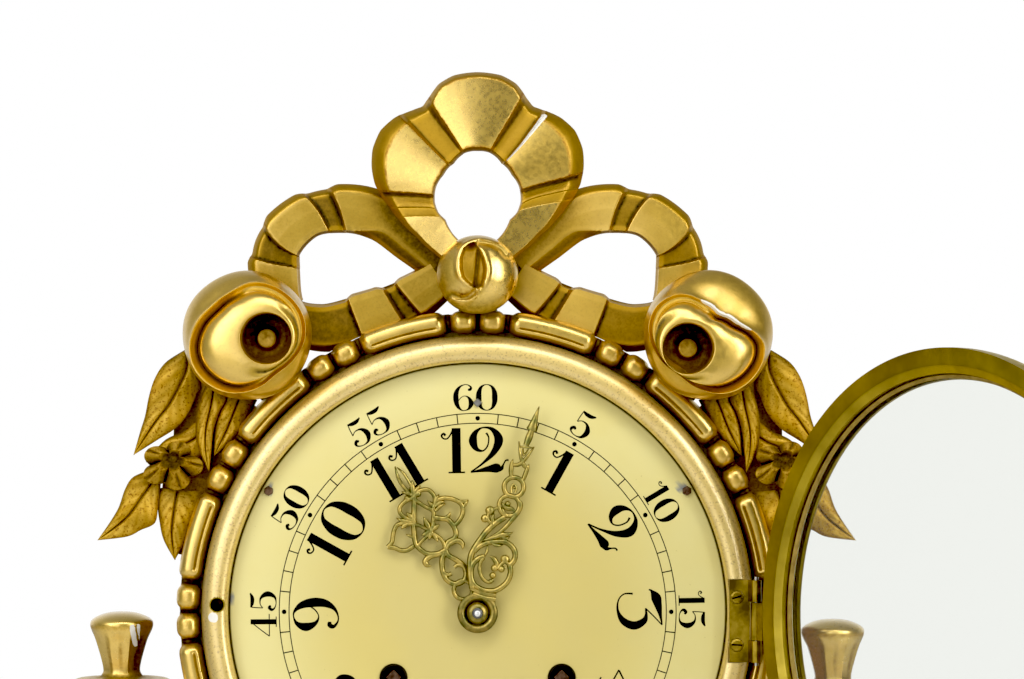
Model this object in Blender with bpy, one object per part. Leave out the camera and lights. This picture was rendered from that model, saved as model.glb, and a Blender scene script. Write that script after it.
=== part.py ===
"""Giltwood wall clock: carved ribbon crest, glazed bezel door, striking pendulum movement.

Metres, +Z up. The wall is the plane Y = 0 and the dial faces -Y; the origin lies on the dial's axis.
Depths are written as f, the distance off the wall, so a point is (x, -f, z).
"""

import bmesh
import bpy
from math import atan2, cos, hypot, pi, radians, sin, sqrt, tau
from mathutils import Vector

MM = 0.001

# Driving sizes
GAP = 0.3 * MM                     # seat between two pieces that touch
DIAL_R = 90.2 * MM                 # dial showing inside the ring
BAND_W = 8.3 * MM                  # smooth gilt band round the dial
BEAD_W = 8.9 * MM                  # bead-and-reel moulding
BACKBOARD_T = 9.0 * MM
PENDULUM_ROOM = 21.0 * MM          # backboard to back plate
PLATE_T = 2.0 * MM
PILLAR_L = 34.0 * MM               # between the two plates
MOTION_ROOM = 10.3 * MM            # front plate to the front ring
LEDGE_T = 7.1 * MM                 # wooden seat behind the dial
DIAL_T = 0.8 * MM
DIAL_CROWN = 1.5 * MM              # the dial's edge falls back by this
DIAL_RECESS = 6.0 * MM             # dial below the band
BEZEL_DEPTH = 11.8 * MM
DOOR_OPEN = radians(127.0)         # as photographed
WIND_X = 30.4 * MM                 # winding squares beside and below the centre
WIND_Z = -23.8 * MM
HOUR_HAND_L = 60.2 * MM
MINUTE_HAND_L = 76.9 * MM
HOUR_ANGLE = radians(-29.3)        # clockwise from twelve
MINUTE_ANGLE = radians(16.3)
ROSE_R = 23.2 * MM
BUD_R = 14.6 * MM
LOOP_R = 38.9 * MM                 # outer radius of the middle ribbon loop
URN_H = 91.0 * MM
URN_RIGHT_DROP = 2.7 * MM          # the right urn sits a little lower
PENDULUM_SWING = radians(3.5)

# Depth stations, from the wall to the front
BACK_PLATE_F = BACKBOARD_T + PENDULUM_ROOM
FRONT_PLATE_F = BACK_PLATE_F + PLATE_T + PILLAR_L
PLATE_FACE_F = FRONT_PLATE_F + PLATE_T
RING_BACK_F = PLATE_FACE_F + MOTION_ROOM
LEDGE_F = RING_BACK_F + LEDGE_T
DIAL_RIM_F = LEDGE_F + GAP + DIAL_T
DIAL_F = DIAL_RIM_F + DIAL_CROWN
BAND_F = DIAL_F + DIAL_RECESS
BEAD_BACK_F = BAND_F - 13.2 * MM
BEAD_FRONT_F = BAND_F - 4.4 * MM
BEZEL_F = BAND_F + 2.0 * GAP       # rim plane of the closed bezel

# Radii, from the dial outwards
BAND_R = DIAL_R + BAND_W
BEAD_IN = BAND_R + 1.9 * MM
BEAD_MID = BEAD_IN + 0.5 * BEAD_W
BEAD_OUT = BEAD_IN + BEAD_W
DRUM_R = BEAD_IN + 2.6 * MM
DRUM_IN = DRUM_R - 17.0 * MM
LEDGE_R = DIAL_R - 20.0 * MM
BEZEL_R = DIAL_R + 0.675 * BAND_W
SIGHT_R = DIAL_R - 5.3 * MM
HINGE_X = BAND_R + 1.8 * MM
HINGE_F = BAND_F + 1.6 * MM
HINGE_Z = -2.9 * MM
HINGE_H = 29.6 * MM
KNUCKLE_R = 2.0 * MM
PIN_R = 0.8 * MM
LATCH_X = -(DIAL_R + 3.6 * MM)
LATCH_Z = 2.9 * MM
ROUND = 36                         # facets of every large ring, so that their flats line up
TOOTH_ADD = 0.75                   # tooth height over and under the pitch circle, in modules
TOOTH_DED = 1.05


def clear_scene():
    for old in list(bpy.data.objects):
        bpy.data.objects.remove(old, do_unlink=True)


def material(name, colour, metallic, roughness):
    """Principled material with an own colour."""
    mat = bpy.data.materials.new(name)
    mat.use_nodes = True
    shader = mat.node_tree.nodes["Principled BSDF"]
    shader.inputs["Base Color"].default_value = (*colour, 1.0)
    shader.inputs["Metallic"].default_value = metallic
    shader.inputs["Roughness"].default_value = roughness
    return mat


clear_scene()
GILT = material("water_gilt_wood", (0.62, 0.42, 0.14), 0.7, 0.4)
PINE = material("pine_wood", (0.38, 0.25, 0.13), 0.0, 0.7)
BRASS = material("aged_brass", (0.42, 0.33, 0.14), 1.0, 0.4)
STEEL = material("clock_steel", (0.35, 0.35, 0.36), 1.0, 0.35)
ENAMEL = material("cream_dial_paint", (0.78, 0.70, 0.33), 0.0, 0.45)
BLACK = material("blackened_brass", (0.03, 0.03, 0.03), 0.6, 0.5)
GLASS = material("bezel_glass", (0.85, 0.88, 0.86), 0.0, 0.05)
GLASS.node_tree.nodes["Principled BSDF"].inputs["Transmission Weight"].default_value = 1.0
BRONZE = material("cast_hand_brass", (0.30, 0.28, 0.16), 1.0, 0.45)


def at(x, f, z):
    """Point at height z, a distance f off the wall."""
    return Vector((x, -f, z))


def ring_at(r, clock, f):
    """Point at radius r from the dial's axis, clockwise from twelve."""
    return at(r * sin(clock), f, r * cos(clock))


def solid(name, bm, mat=None):
    """Object from a bmesh; without a material it is a hidden cutter or a lump to be joined."""
    bmesh.ops.connect_verts_nonplanar(bm, angle_limit=radians(0.2), faces=bm.faces)
    bmesh.ops.recalc_face_normals(bm, faces=bm.faces)
    if bm.calc_volume(signed=True) < 0:
        bmesh.ops.reverse_faces(bm, faces=bm.faces)
    mesh = bpy.data.meshes.new(name)
    bm.to_mesh(mesh)
    bm.free()
    mesh.shade_smooth()
    mesh.set_sharp_from_angle(angle=radians(38))
    ob = bpy.data.objects.new(name, mesh)
    bpy.context.scene.collection.objects.link(ob)
    if mat is None:
        ob.hide_render = True
        ob.display_type = "WIRE"
    else:
        mesh.materials.append(mat)
    return ob


def combine(ob, other, operation):
    mod = ob.modifiers.new(other.name, "BOOLEAN")
    mod.operation = operation
    mod.solver = "EXACT"
    mod.object = other
    return ob


def cut(ob, bm):
    return combine(ob, solid(ob.name + "_cutter", bm), "DIFFERENCE")


def join(ob, bm):
    return combine(ob, solid(ob.name + "_lump", bm), "UNION")


def loft(sections, loop=False):
    """Closed body through rings of points; a ring of one point is a pole; a loop closes on itself."""
    bm = bmesh.new()
    rings = [[bm.verts.new(p) for p in s] for s in sections]
    count = len(rings)
    for i in range(count if loop else count - 1):
        a, b = rings[i], rings[(i + 1) % count]
        for k in range(max(len(a), len(b))):
            m = k + 1
            quad = [a[k % len(a)], a[m % len(a)], b[m % len(b)], b[k % len(b)]]
            bm.faces.new(list(dict.fromkeys(quad)))
    if not loop:
        for end in (rings[0], rings[-1]):
            if len(end) > 2:
                bm.faces.new(end)
    return bm


def dial_axis(x=0.0, z=0.0):
    """Turning about a line square to the wall: station = f."""
    return lambda r, t, h: at(x + r * sin(t), h, z + r * cos(t))


def plumb_axis(x, f):
    """Turning about an upright line: station = z."""
    return lambda r, t, h: at(x + r * sin(t), f + r * cos(t), h)


def turned(profile, steps, axis):
    """Solid of revolution from (radius, station) pairs; radius 0 gives a pole."""
    return loft([[axis(0, 0, h)] if r == 0 else [axis(r, tau * k / steps, h) for k in range(steps)]
                 for r, h in profile])


def turned_ring(profile, steps, axis):
    """Ring of revolution from a closed (radius, station) outline that stays off the axis."""
    return loft([[axis(r, tau * k / steps, h) for r, h in profile] for k in range(steps)], loop=True)


def rod(r, f0, f1, x=0.0, z=0.0, steps=10):
    return turned([(r, f0), (r, f1)], steps, dial_axis(x, z))


def box(x0, x1, f0, f1, z0, z1):
    return loft([[at(x, f, z) for x, f in ((x0, f0), (x1, f0), (x1, f1), (x0, f1))] for z in (z0, z1)])


def plate(outline, f0, f1):
    """Flat plate between two depths from an (x, z) outline."""
    return loft([[at(x, f, z) for x, z in outline] for f in (f0, f1)])


def pierced(outline, holes, f0, f1):
    """Flat plate between two depths with holes, all as (x, z) outlines."""
    bm = bmesh.new()
    edges = []
    for loop in [outline] + holes:
        verts = [bm.verts.new(at(x, f0, z)) for x, z in loop]
        edges += [bm.edges.new((verts[k - 1], verts[k])) for k in range(len(verts))]
    bmesh.ops.triangle_fill(bm, use_beauty=True, use_dissolve=False, edges=edges)
    made = bmesh.ops.extrude_face_region(bm, geom=list(bm.faces), use_keep_orig=True)["geom"]
    bmesh.ops.translate(bm, verts=[v for v in made if isinstance(v, bmesh.types.BMVert)],
                        vec=Vector((0, f0 - f1, 0)))
    return bm


def circle(r, x=0.0, z=0.0, steps=10, turn=0.0, stretch=1.0):
    return [(x + r * sin(turn + tau * k / steps), z + stretch * r * cos(turn + tau * k / steps))
            for k in range(steps)]


def spline(points, count, loop=False):
    """Smooth curve through points of any width, sampled count times."""
    n = len(points)
    spans = n if loop else n - 1
    out = []
    for i in range(count):
        t = spans * i / (count if loop else count - 1)
        k = min(int(t), spans - 1)
        u = t - k
        pick = [points[(k + d) % n] if loop else points[min(max(k + d, 0), n - 1)] for d in (-1, 0, 1, 2)]
        out.append(tuple(0.5 * (2 * b + (c - a) * u + (2 * a - 5 * b + 4 * c - d) * u * u
                                + (3 * b - a - 3 * c + d) * u ** 3) for a, b, c, d in zip(*pick)))
    return out


def along(table, t):
    """Smooth value between (place, value) pairs."""
    for (t0, v0), (t1, v1) in zip(table, table[1:]):
        if t <= t1:
            u = min(max((t - t0) / (t1 - t0), 0.0), 1.0)
            return v0 + (v1 - v0) * u * u * (3 - 2 * u)
    return table[-1][1]


def gear(teeth, module, f0, f1, x=0.0, z=0.0, tooth_at=0.0):
    """Wheel of pointed teeth, one of them towards the clockwise angle tooth_at."""
    r = 0.5 * module * teeth
    outline = []
    for k in range(teeth):
        a = tooth_at + tau * k / teeth
        b = a + pi / teeth
        outline += [(x + (r + TOOTH_ADD * module) * sin(a), z + (r + TOOTH_ADD * module) * cos(a)),
                    (x + (r - TOOTH_DED * module) * sin(b), z + (r - TOOTH_DED * module) * cos(b))]
    return outline, f0, f1


def tenon(clock, width, r_top, f0, f1):
    """Block at the back of a carving that is glued to the drum's side."""
    side = 0.5 * width / r_top
    r0 = (DRUM_R + GAP) / cos(side)
    return loft([[ring_at(r, clock + s, f) for r, s in
                  ((r0, -side), (r0, side), (r_top, side), (r_top, -side))] for f in (f0, f1)])


# Case
drum_f = BACKBOARD_T + GAP
backboard = solid("backboard", turned([(0, 0), (DRUM_R, 0), (DRUM_R, BACKBOARD_T), (0, BACKBOARD_T)], ROUND,
                                      dial_axis()), PINE)
HANG_Z = DRUM_R - 34.0 * MM
HANG_W = 26.0 * MM
HANG_H = 34.0 * MM
cut(backboard, box(-0.5 * HANG_W - GAP, 0.5 * HANG_W + GAP, -1 * MM, 1.5 * MM + 2 * GAP,
                   HANG_Z - 0.5 * HANG_H - GAP, HANG_Z + 0.5 * HANG_H + GAP))
cut(backboard, box(-0.25 * HANG_W, 0.25 * HANG_W, -1 * MM, BACKBOARD_T - 2 * MM,
                   HANG_Z - 0.36 * HANG_H, HANG_Z + 0.36 * HANG_H))
hang_slot = [(-1.6 * MM, HANG_Z + 8 * MM), (-1.6 * MM, HANG_Z), (-4 * MM, HANG_Z - 3 * MM),
             (-4 * MM, HANG_Z - 7 * MM), (4 * MM, HANG_Z - 7 * MM), (4 * MM, HANG_Z - 3 * MM),
             (1.6 * MM, HANG_Z), (1.6 * MM, HANG_Z + 8 * MM)]
hang_outline = [(-0.5 * HANG_W, HANG_Z - 0.5 * HANG_H), (0.5 * HANG_W, HANG_Z - 0.5 * HANG_H),
                (0.5 * HANG_W, HANG_Z + 0.5 * HANG_H), (-0.5 * HANG_W, HANG_Z + 0.5 * HANG_H)]
solid("hanger_plate", pierced(hang_outline, [hang_slot], GAP, GAP + 1.5 * MM), STEEL)
solid("case_drum", turned_ring([(DRUM_IN, drum_f), (DRUM_R, drum_f), (DRUM_R, RING_BACK_F - GAP),
                                (DRUM_IN, RING_BACK_F - GAP)], ROUND, dial_axis()), PINE)

# Front ring: dial seat, smooth band rolling over to the bead shoulder
front_ring = solid("front_ring", turned_ring(
    [(LEDGE_R, RING_BACK_F), (DRUM_R, RING_BACK_F), (DRUM_R, BEAD_BACK_F - GAP),
     (BAND_R + 1.5 * MM, BEAD_BACK_F - GAP), (BAND_R + 1.2 * MM, BAND_F - 2.2 * MM), (BAND_R - 0.6 * MM, BAND_F),
     (DIAL_R + 1.3 * MM, BAND_F), (DIAL_R, BAND_F - 2 * MM), (DIAL_R, LEDGE_F), (LEDGE_R, LEDGE_F)],
    ROUND, dial_axis()), GILT)

# Bead-and-reel: pairs of beads at the hours, long reels between; the pair at the hinge is cut away
BEAD_RADIUS = 0.47 * BEAD_W
BEAD_CORE = 0.22
HINGE_HOUR = 3


def bead_size(clock):
    """Half width of the moulding at an angle, as a part of the full reel."""
    step = radians(30)
    hour = round(clock / step)
    off = abs(clock - hour * step)
    if off < radians(5.4):
        end = (radians(2.75) - abs(off - radians(2.75))) * BEAD_MID
        if hour % 12 == HINGE_HOUR:
            end = 0.0
    else:
        end = (radians(8.9) - abs(radians(15) - off)) * BEAD_MID
    swell = min(1.0, max(0.0, end) / BEAD_RADIUS)
    return max(BEAD_CORE, sqrt(swell * (2 - swell)))


bead_stations = []
for hour in range(12):
    for off in (-5.3, -3.7, -1.8, 0.0, 1.8, 3.7, 5.3, 7.0, 15.0, 23.0):
        if hour != HINGE_HOUR or not 0.0 < abs(off) < 5.0:
            bead_stations.append(radians(30 * hour + off))
bead_depth = BEAD_FRONT_F - BEAD_BACK_F
bead_sections = []
for a in bead_stations:
    s = bead_size(a)
    w = 0.5 * BEAD_W * s
    d = bead_depth * (0.25 + 0.75 * s)
    bead_sections.append([ring_at(BEAD_MID + x * w, a, BEAD_BACK_F + y * d) for x, y in
                          ((-1, 0), (1, 0), (0.7, 0.94), (-0.7, 0.94))])
solid("bead_moulding", loft(bead_sections, loop=True), GILT)

# Dial: a thin plate, flat in the middle and falling back to its nailed edge
DIAL_EDGE = DIAL_R - GAP
DIAL_FLAT = DIAL_R - 20.0 * MM
dial = solid("dial", turned(
    [(0, DIAL_F - DIAL_T), (DIAL_FLAT, DIAL_F - DIAL_T), (DIAL_EDGE, DIAL_RIM_F - DIAL_T),
     (DIAL_EDGE, DIAL_RIM_F), (DIAL_FLAT, DIAL_F), (0, DIAL_F)],
    ROUND, dial_axis()), ENAMEL)
HOUR_PIPE_R = 4.2 * MM
cut(dial, rod(HOUR_PIPE_R + 2 * GAP, DIAL_F - 4 * MM, DIAL_F + 4 * MM, steps=12))
EYELET_R = 5.1 * MM
for side, tag in ((-1, "left"), (1, "right")):
    cut(dial, rod(EYELET_R - 0.6 * MM, DIAL_F - 4 * MM, DIAL_F + 4 * MM, side * WIND_X, WIND_Z, 12))
    solid("winding_eyelet_" + tag, turned_ring(
        [(EYELET_R - 1.3 * MM, DIAL_F - DIAL_T), (EYELET_R - 0.9 * MM, DIAL_F - DIAL_T),
         (EYELET_R - 0.9 * MM, DIAL_F + GAP), (EYELET_R, DIAL_F + GAP), (EYELET_R - 1.2 * MM, DIAL_F + 1.1 * MM)], 12, dial_axis(side * WIND_X, WIND_Z)), BLACK)
PIN_RING = DIAL_R - 2.8 * MM
dial_pins = (("top", DIAL_R - 14.6 * MM, 0.0), ("upper_left", PIN_RING, -60.0), ("upper_right", PIN_RING, 60.0),
             ("lower_left", PIN_RING, -120.0), ("lower_right", PIN_RING, 120.0))
for tag, r, angle in dial_pins:
    x, z = r * sin(radians(angle)), r * cos(radians(angle))
    fall = DIAL_CROWN * max(0.0, (r - DIAL_FLAT) / (DIAL_EDGE - DIAL_FLAT))
    head = DIAL_F - 0.9 * fall + GAP
    shank_end = LEDGE_F - 5.0 * MM
    pin = solid("dial_pin_" + tag, turned(
        [(0.7 * MM, shank_end), (0.7 * MM, head), (1.8 * MM, head), (1.5 * MM, head + 0.9 * MM)],
        4 if tag == "top" else 6, dial_axis(x, z)), STEEL)
    cut(dial, rod(0.9 * MM + GAP, DIAL_F - 4 * MM, DIAL_F + 4 * MM, x, z, 5))
    cut(front_ring, rod(0.9 * MM + GAP, shank_end - GAP, LEDGE_F + 1 * MM, x, z, 5))

# Hinge: leaf let into the band, knuckles on an upright axis
LEAF_T = 1.5 * MM
LEAF_F = BAND_F + 0.2 * MM
LEAF_X0 = DIAL_R + 0.5 * MM
LEAF_X1 = BAND_R + 0.1 * MM
hz0, hz1 = HINGE_Z - 0.5 * HINGE_H, HINGE_Z + 0.5 * HINGE_H
third_h = (HINGE_H - 2 * GAP) / 3.6
mid0, mid1 = hz0 + third_h, hz1 - third_h
cut(front_ring, box(LEAF_X0 - GAP, BAND_R + 3 * MM, LEAF_F - LEAF_T - GAP, BAND_F + 5 * MM, hz0 - GAP, hz1 + GAP))


def knuckle(z0, z1):
    return turned_ring([(PIN_R + GAP, z0), (KNUCKLE_R, z0), (KNUCKLE_R, z1), (PIN_R + GAP, z1)], 8,
                       plumb_axis(HINGE_X, HINGE_F))


case_leaf = solid("hinge_case_leaf", box(LEAF_X0, LEAF_X1 - 0.6 * MM, LEAF_F - LEAF_T, LEAF_F, hz0, hz1), BRASS)
for z0, z1 in ((hz0, mid0 - GAP), (mid1 + GAP, hz1)):
    join(case_leaf, loft([[at(LEAF_X1 - 1.2 * MM, LEAF_F - LEAF_T, z), at(LEAF_X1 - 1.2 * MM, LEAF_F, z),
                           at(HINGE_X - 0.55 * KNUCKLE_R, HINGE_F + 0.6 * KNUCKLE_R, z),
                           at(HINGE_X - 0.62 * KNUCKLE_R, HINGE_F - 0.5 * KNUCKLE_R, z)]
                          for z in (z0, z1)]))
    join(case_leaf, knuckle(z0, z1))
solid("hinge_pin", turned([(PIN_R, hz0 - 1.2 * MM), (PIN_R, hz1 + 1.2 * MM)], 8,
                          plumb_axis(HINGE_X, HINGE_F)), STEEL)
for tag, z in (("lower", HINGE_Z - 0.29 * HINGE_H), ("upper", HINGE_Z + 0.29 * HINGE_H)):
    x = LEAF_X0 + 0.34 * (LEAF_X1 - LEAF_X0)
    cut(case_leaf, rod(2.6 * MM, LEAF_F - 3 * MM, LEAF_F + 3 * MM, x, z, 9))
    cut(front_ring, rod(1.5 * MM, LEAF_F - 9 * MM, LEAF_F, x, z, 6))
    screw = solid("hinge_screw_" + tag, turned(
        [(1.1 * MM, LEAF_F - 8.5 * MM), (1.1 * MM, LEAF_F - LEAF_T + 0.2 * MM), (2.25 * MM, LEAF_F - LEAF_T + 0.2 * MM),
         (2.25 * MM, LEAF_F), (1.6 * MM, LEAF_F + 0.35 * MM)], 9, dial_axis(x, z)), BRASS)
    cut(screw, box(x - 3 * MM, x + 3 * MM, LEAF_F - 0.35 * MM, LEAF_F + 2 * MM, z - 0.3 * MM, z + 0.3 * MM))

# Latch: bush let into the band, stud on the bezel
cut(front_ring, rod(3.0 * MM + GAP, BAND_F - 10 * MM, BAND_F + 2 * MM, LATCH_X, LATCH_Z, 12))
solid("latch_bush", turned_ring([(2.2 * MM, BAND_F - 9.7 * MM), (3.0 * MM, BAND_F - 9.7 * MM),
                                 (3.0 * MM, BAND_F + 0.2 * MM), (2.2 * MM, BAND_F + 0.2 * MM)], 12,
                                dial_axis(LATCH_X, LATCH_Z)), BRASS)

# Bezel door, modelled shut about the hinge axis and then swung open
door_axis = bpy.data.objects.new("door_axis", None)
bpy.context.scene.collection.objects.link(door_axis)
door_axis.location = at(HINGE_X, HINGE_F, 0)
door_axis.rotation_euler = (0, 0, DOOR_OPEN)


def on_door(ob):
    """Hang a piece modelled shut on the door's axis."""
    ob.data.transform(ob.matrix_world.Translation(-at(HINGE_X, HINGE_F, 0)))
    ob.parent = door_axis
    for mod in ob.modifiers:
        if mod.type == "BOOLEAN" and mod.object.parent is None:
            on_door(mod.object)
    return ob


WALL_R = BEZEL_R - 8.8 * MM
LIP_F = BEZEL_F + BEZEL_DEPTH - 4.0 * MM
bezel = solid("bezel", turned_ring(
    [(BEZEL_R, BEZEL_F), (BEZEL_R - 4.3 * MM, BEZEL_F), (WALL_R, BEZEL_F + 2.4 * MM), (WALL_R, LIP_F),
     (SIGHT_R, LIP_F), (SIGHT_R, LIP_F + 1.8 * MM), (WALL_R + 0.5 * MM, BEZEL_F + BEZEL_DEPTH),
     (BEZEL_R - 4 * MM, BEZEL_F + BEZEL_DEPTH - 0.4 * MM), (BEZEL_R - 1 * MM, BEZEL_F + 0.74 * BEZEL_DEPTH),
     (BEZEL_R, BEZEL_F + 0.42 * BEZEL_DEPTH)], ROUND, dial_axis()), BRASS)
on_door(bezel)
GLASS_T = 2.2 * MM
GLASS_DOME = 4.0 * MM
GLASS_R = WALL_R - GAP
glass_rise = [(0.0, 1.0), (0.62, 0.62)]
glass_front = [(GLASS_R * r, LIP_F - GAP + GLASS_DOME * h) for r, h in glass_rise]
glass_back = [(r, h - GLASS_T) for r, h in glass_front]
on_door(solid("glass", turned(glass_back + [(GLASS_R, LIP_F - GAP - GLASS_T), (GLASS_R, LIP_F - GAP)]
                              + glass_front[::-1], ROUND, dial_axis()), GLASS))
on_door(solid("glazing_putty", turned_ring(
    [(WALL_R - GAP, LIP_F - GLASS_T - 2 * GAP), (WALL_R - GAP, LIP_F - GLASS_T - 1.9 * MM),
     (WALL_R - 1.6 * MM, LIP_F - GLASS_T - 2 * GAP)], ROUND, dial_axis()), PINE))
door_leaf = solid("hinge_door_leaf", loft([[at(BEZEL_R + GAP, BEZEL_F + 0.2 * MM, z),
                                            at(BEZEL_R + GAP, BEZEL_F + 5 * MM, z),
                                            at(BEZEL_R + GAP + 1.0 * MM, BEZEL_F + 5 * MM, z),
                                            at(HINGE_X - 0.5 * KNUCKLE_R, HINGE_F + 0.62 * KNUCKLE_R, z),
                                            at(HINGE_X - 0.62 * KNUCKLE_R, HINGE_F - 0.5 * KNUCKLE_R, z)]
                                           for z in (mid0, mid1)]), BRASS)
join(door_leaf, knuckle(mid0, mid1))
on_door(door_leaf)
on_door(solid("latch_stud", turned([(1.6 * MM, BEZEL_F - 6.0 * MM), (1.9 * MM, BEZEL_F - 5.2 * MM),
                                    (1.9 * MM, BEZEL_F - GAP)], 10, dial_axis(LATCH_X, LATCH_Z)), STEEL))

# Ribbon crest
LOOP_Z = BEAD_OUT + 46.8 * MM
LOOP_F = BAND_F - 4.6 * MM
RIBBON_T = 4.6 * MM                # half thickness at the crown
LOOP_INNER = ((0, 10.4), (45, 12.6), (90, 15.1), (133, 18.4), (160, 23.0), (180, 25.0))
LOOP_OUTER = ((0, 38.9), (28, 38.5), (37, 34.4), (46, 38.3), (88, 38.9), (97, 37.2), (112, 36.8), (126, 34.8),
              (150, 32.6), (180, 36.0))
FOLDS = ((0, 0.0), (26, 0.0), (31, 0.8), (43, 0.8), (48, 0.0), (90, 0.0), (94, 0.7), (112, 0.6), (117, 0.1),
         (180, 0.2))
ribbon_profile = ((-1, 0.0), (-0.72, 0.9), (0.72, 0.9), (1, 0.0), (0.8, -0.8), (-0.8, -0.8))


def ribbon_ring(x, z, nx, nz, half, f, fold):
    """Cross-section of a ribbon; a fold sinks its face."""
    return [at(x + nx * w * half, f + RIBBON_T * d * (1 - 0.75 * fold if d > 0 else 1), z + nz * w * half)
            for w, d in ribbon_profile]


loop_sections = []
for deg in range(-180, 180, 9):
    a, t = radians(deg), abs(deg)
    r0 = along(LOOP_INNER, t) * LOOP_R / 38.9
    r1 = along(LOOP_OUTER, t) * LOOP_R / 38.9
    r = 0.5 * (r0 + r1)
    loop_sections.append(ribbon_ring(r * sin(a), LOOP_Z + r * cos(a), sin(a), cos(a), 0.5 * (r1 - r0), LOOP_F,
                                     along(FOLDS, t)))
centre_loop = solid("crest_centre_loop", loft(loop_sections, loop=True), GILT)
TENON_F0 = BEAD_BACK_F - 11 * MM
TENON_F1 = BEAD_BACK_F - 2 * GAP
join(centre_loop, tenon(0, 14 * MM, BEAD_OUT + 12 * MM, TENON_F0, TENON_F1))
join(centre_loop, box(-7 * MM, 7 * MM, TENON_F0 + 2 * MM, LOOP_F, BEAD_OUT + 1 * MM, BEAD_OUT + 13 * MM))

# Side loops, from the knot round and back to it: x, z over the beads, half width, f below the band, fold
SIDE_LOOP = ((-15.5, 9.5, 6.0, 15.2, 0.1), (-28.0, 1.6, 9.2, 15.2, 0.5), (-42.5, -4.0, 9.8, 15.2, 0.0),
             (-57.5, -7.0, 9.4, 15.6, 0.6), (-70.5, -1.5, 8.6, 16.0, 0.1), (-74.0, 13.5, 9.4, 15.8, 0.6),
             (-72.6, 24.5, 9.0, 15.0, 0.0), (-62.0, 34.4, 8.4, 14.6, 0.0), (-47.7, 36.8, 8.9, 14.6, 0.8),
             (-35.0, 33.6, 8.9, 14.8, 0.1), (-24.3, 24.5, 7.4, 15.0, 0.5), (-15.0, 16.0, 5.4, 15.2, 0.2))

SIDE_STEPS = 29


def side_loop(name, mirror):
    samples = spline(SIDE_LOOP, SIDE_STEPS)
    sections = []
    for i, (x, z, half, down, fold) in enumerate(samples):
        ahead, behind = samples[min(i + 1, SIDE_STEPS - 1)], samples[max(i - 1, 0)]
        dx, dz = ahead[0] - behind[0], ahead[1] - behind[1]
        long = hypot(dx, dz)
        ring = ribbon_ring(x * MM * mirror, BEAD_OUT + z * MM, -dz / long * mirror, dx / long, half * MM,
                           BAND_F - down * MM, fold)
        sections.append(ring)
    ob = solid(name, loft(sections), GILT)
    cut(ob, rod(BEAD_OUT + GAP, BEAD_BACK_F - 20 * MM, BAND_F, steps=48))
    return join(ob, tenon(-mirror * radians(19), 12 * MM, BEAD_OUT + 5 * MM, TENON_F0 + 1 * MM, TENON_F1 - 2 * MM))


side_loop("crest_left_loop", 1)
side_loop("crest_right_loop", -1)

# Rosebud over the knot: a closed bud with a lens of shadow between two petals
BUD_Z = BEAD_OUT + 12.9 * MM
BUD_F = LOOP_F + 0.84 * RIBBON_T + GAP
BUD_H = 15.0 * MM
bud = solid("crest_rosebud", turned(
    [(0.92 * BUD_R, BUD_F), (BUD_R, BUD_F + 0.22 * BUD_H), (0.93 * BUD_R, BUD_F + 0.55 * BUD_H),
     (0.72 * BUD_R, BUD_F + 0.82 * BUD_H), (0.38 * BUD_R, BUD_F + 0.97 * BUD_H), (0, BUD_F + BUD_H)], 16,
    dial_axis(0, BUD_Z)), GILT)
lens = spline([(0.0, 0.78), (0.3, 0.3), (0.27, -0.35), (0.05, -0.72), (-0.14, -0.25), (-0.12, 0.35)], 12, loop=True)
cut(bud, loft([[at(x * BUD_R * k, BUD_F + d * BUD_H, BUD_Z + z * BUD_R * k) for x, z in lens]
               for d, k in ((0.68, 0.55), (1.1, 1.15))]))

# Roses: rings of a wrapped flower, the heart moved towards the clock's middle: radius, height, shift, waver
ROSE_RINGS = ((0.70, 0.0, 0.0, 0.0), (0.86, 0.17, 0.0, 0.0), (0.97, 0.31, 0.0, 0.0), (1.0, 0.45, 0.0, 0.02),
              (0.93, 0.68, 0.02, 0.03), (0.82, 0.84, 0.05, 0.05), (0.74, 0.74, 0.1, 0.05), (0.64, 0.9, 0.18, 0.03),
              (0.48, 1.0, 0.27, 0.0), (0.37, 0.93, 0.3, 0.0), (0.29, 0.6, 0.31, 0.0), (0.14, 0.62, 0.28, 0.0),
              (0.0, 0.76, 0.26, 0.0))


def rose(name, clock, distance, radius, f, height, shift_x, shift_z, petals=15):
    x, z = distance * sin(clock), distance * cos(clock)
    sections = []
    for r, h, shift, waver in ROSE_RINGS:
        cx, cz = x + shift * shift_x * radius, z + shift * shift_z * radius
        count = petals if r else 1
        sections.append([at(cx + radius * r * (1 + waver * cos(2 * tau * k / count + 0.6)) * sin(tau * k / count),
                            f + height * (h + 0.06 * waver / 0.05 * sin(tau * k / count)),
                            cz + radius * r * (1 + waver * cos(2 * tau * k / count + 0.6)) * cos(tau * k / count))
                         for k in range(count)])
    return solid(name, loft(sections), GILT)


ROSE_F = BAND_F - 9.6 * MM
ROSE_H = 25.0 * MM
ROSE_CLOCK = radians(39.7)
ROSE_STEM = ROSE_CLOCK + radians(3.0)
ROSE_DIST = BEAD_OUT + 0.885 * ROSE_R
for side, tag in ((-1, "left"), (1, "right")):
    flower = rose("rose_" + tag, side * ROSE_CLOCK, ROSE_DIST, ROSE_R, ROSE_F, ROSE_H, -side, -0.15)
    join(flower, tenon(side * ROSE_STEM, 12 * MM, BEAD_OUT + 14 * MM, TENON_F0, TENON_F1))
    join(flower, loft([[ring_at(r, side * ROSE_STEM + s, f) for r, s in
                        ((BEAD_OUT + 5 * MM, -0.04), (BEAD_OUT + 5 * MM, 0.04), (BEAD_OUT + 13 * MM, 0.04),
                         (BEAD_OUT + 13 * MM, -0.04))] for f in (TENON_F0 + 3 * MM, ROSE_F + 1.5 * MM)]))


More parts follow.
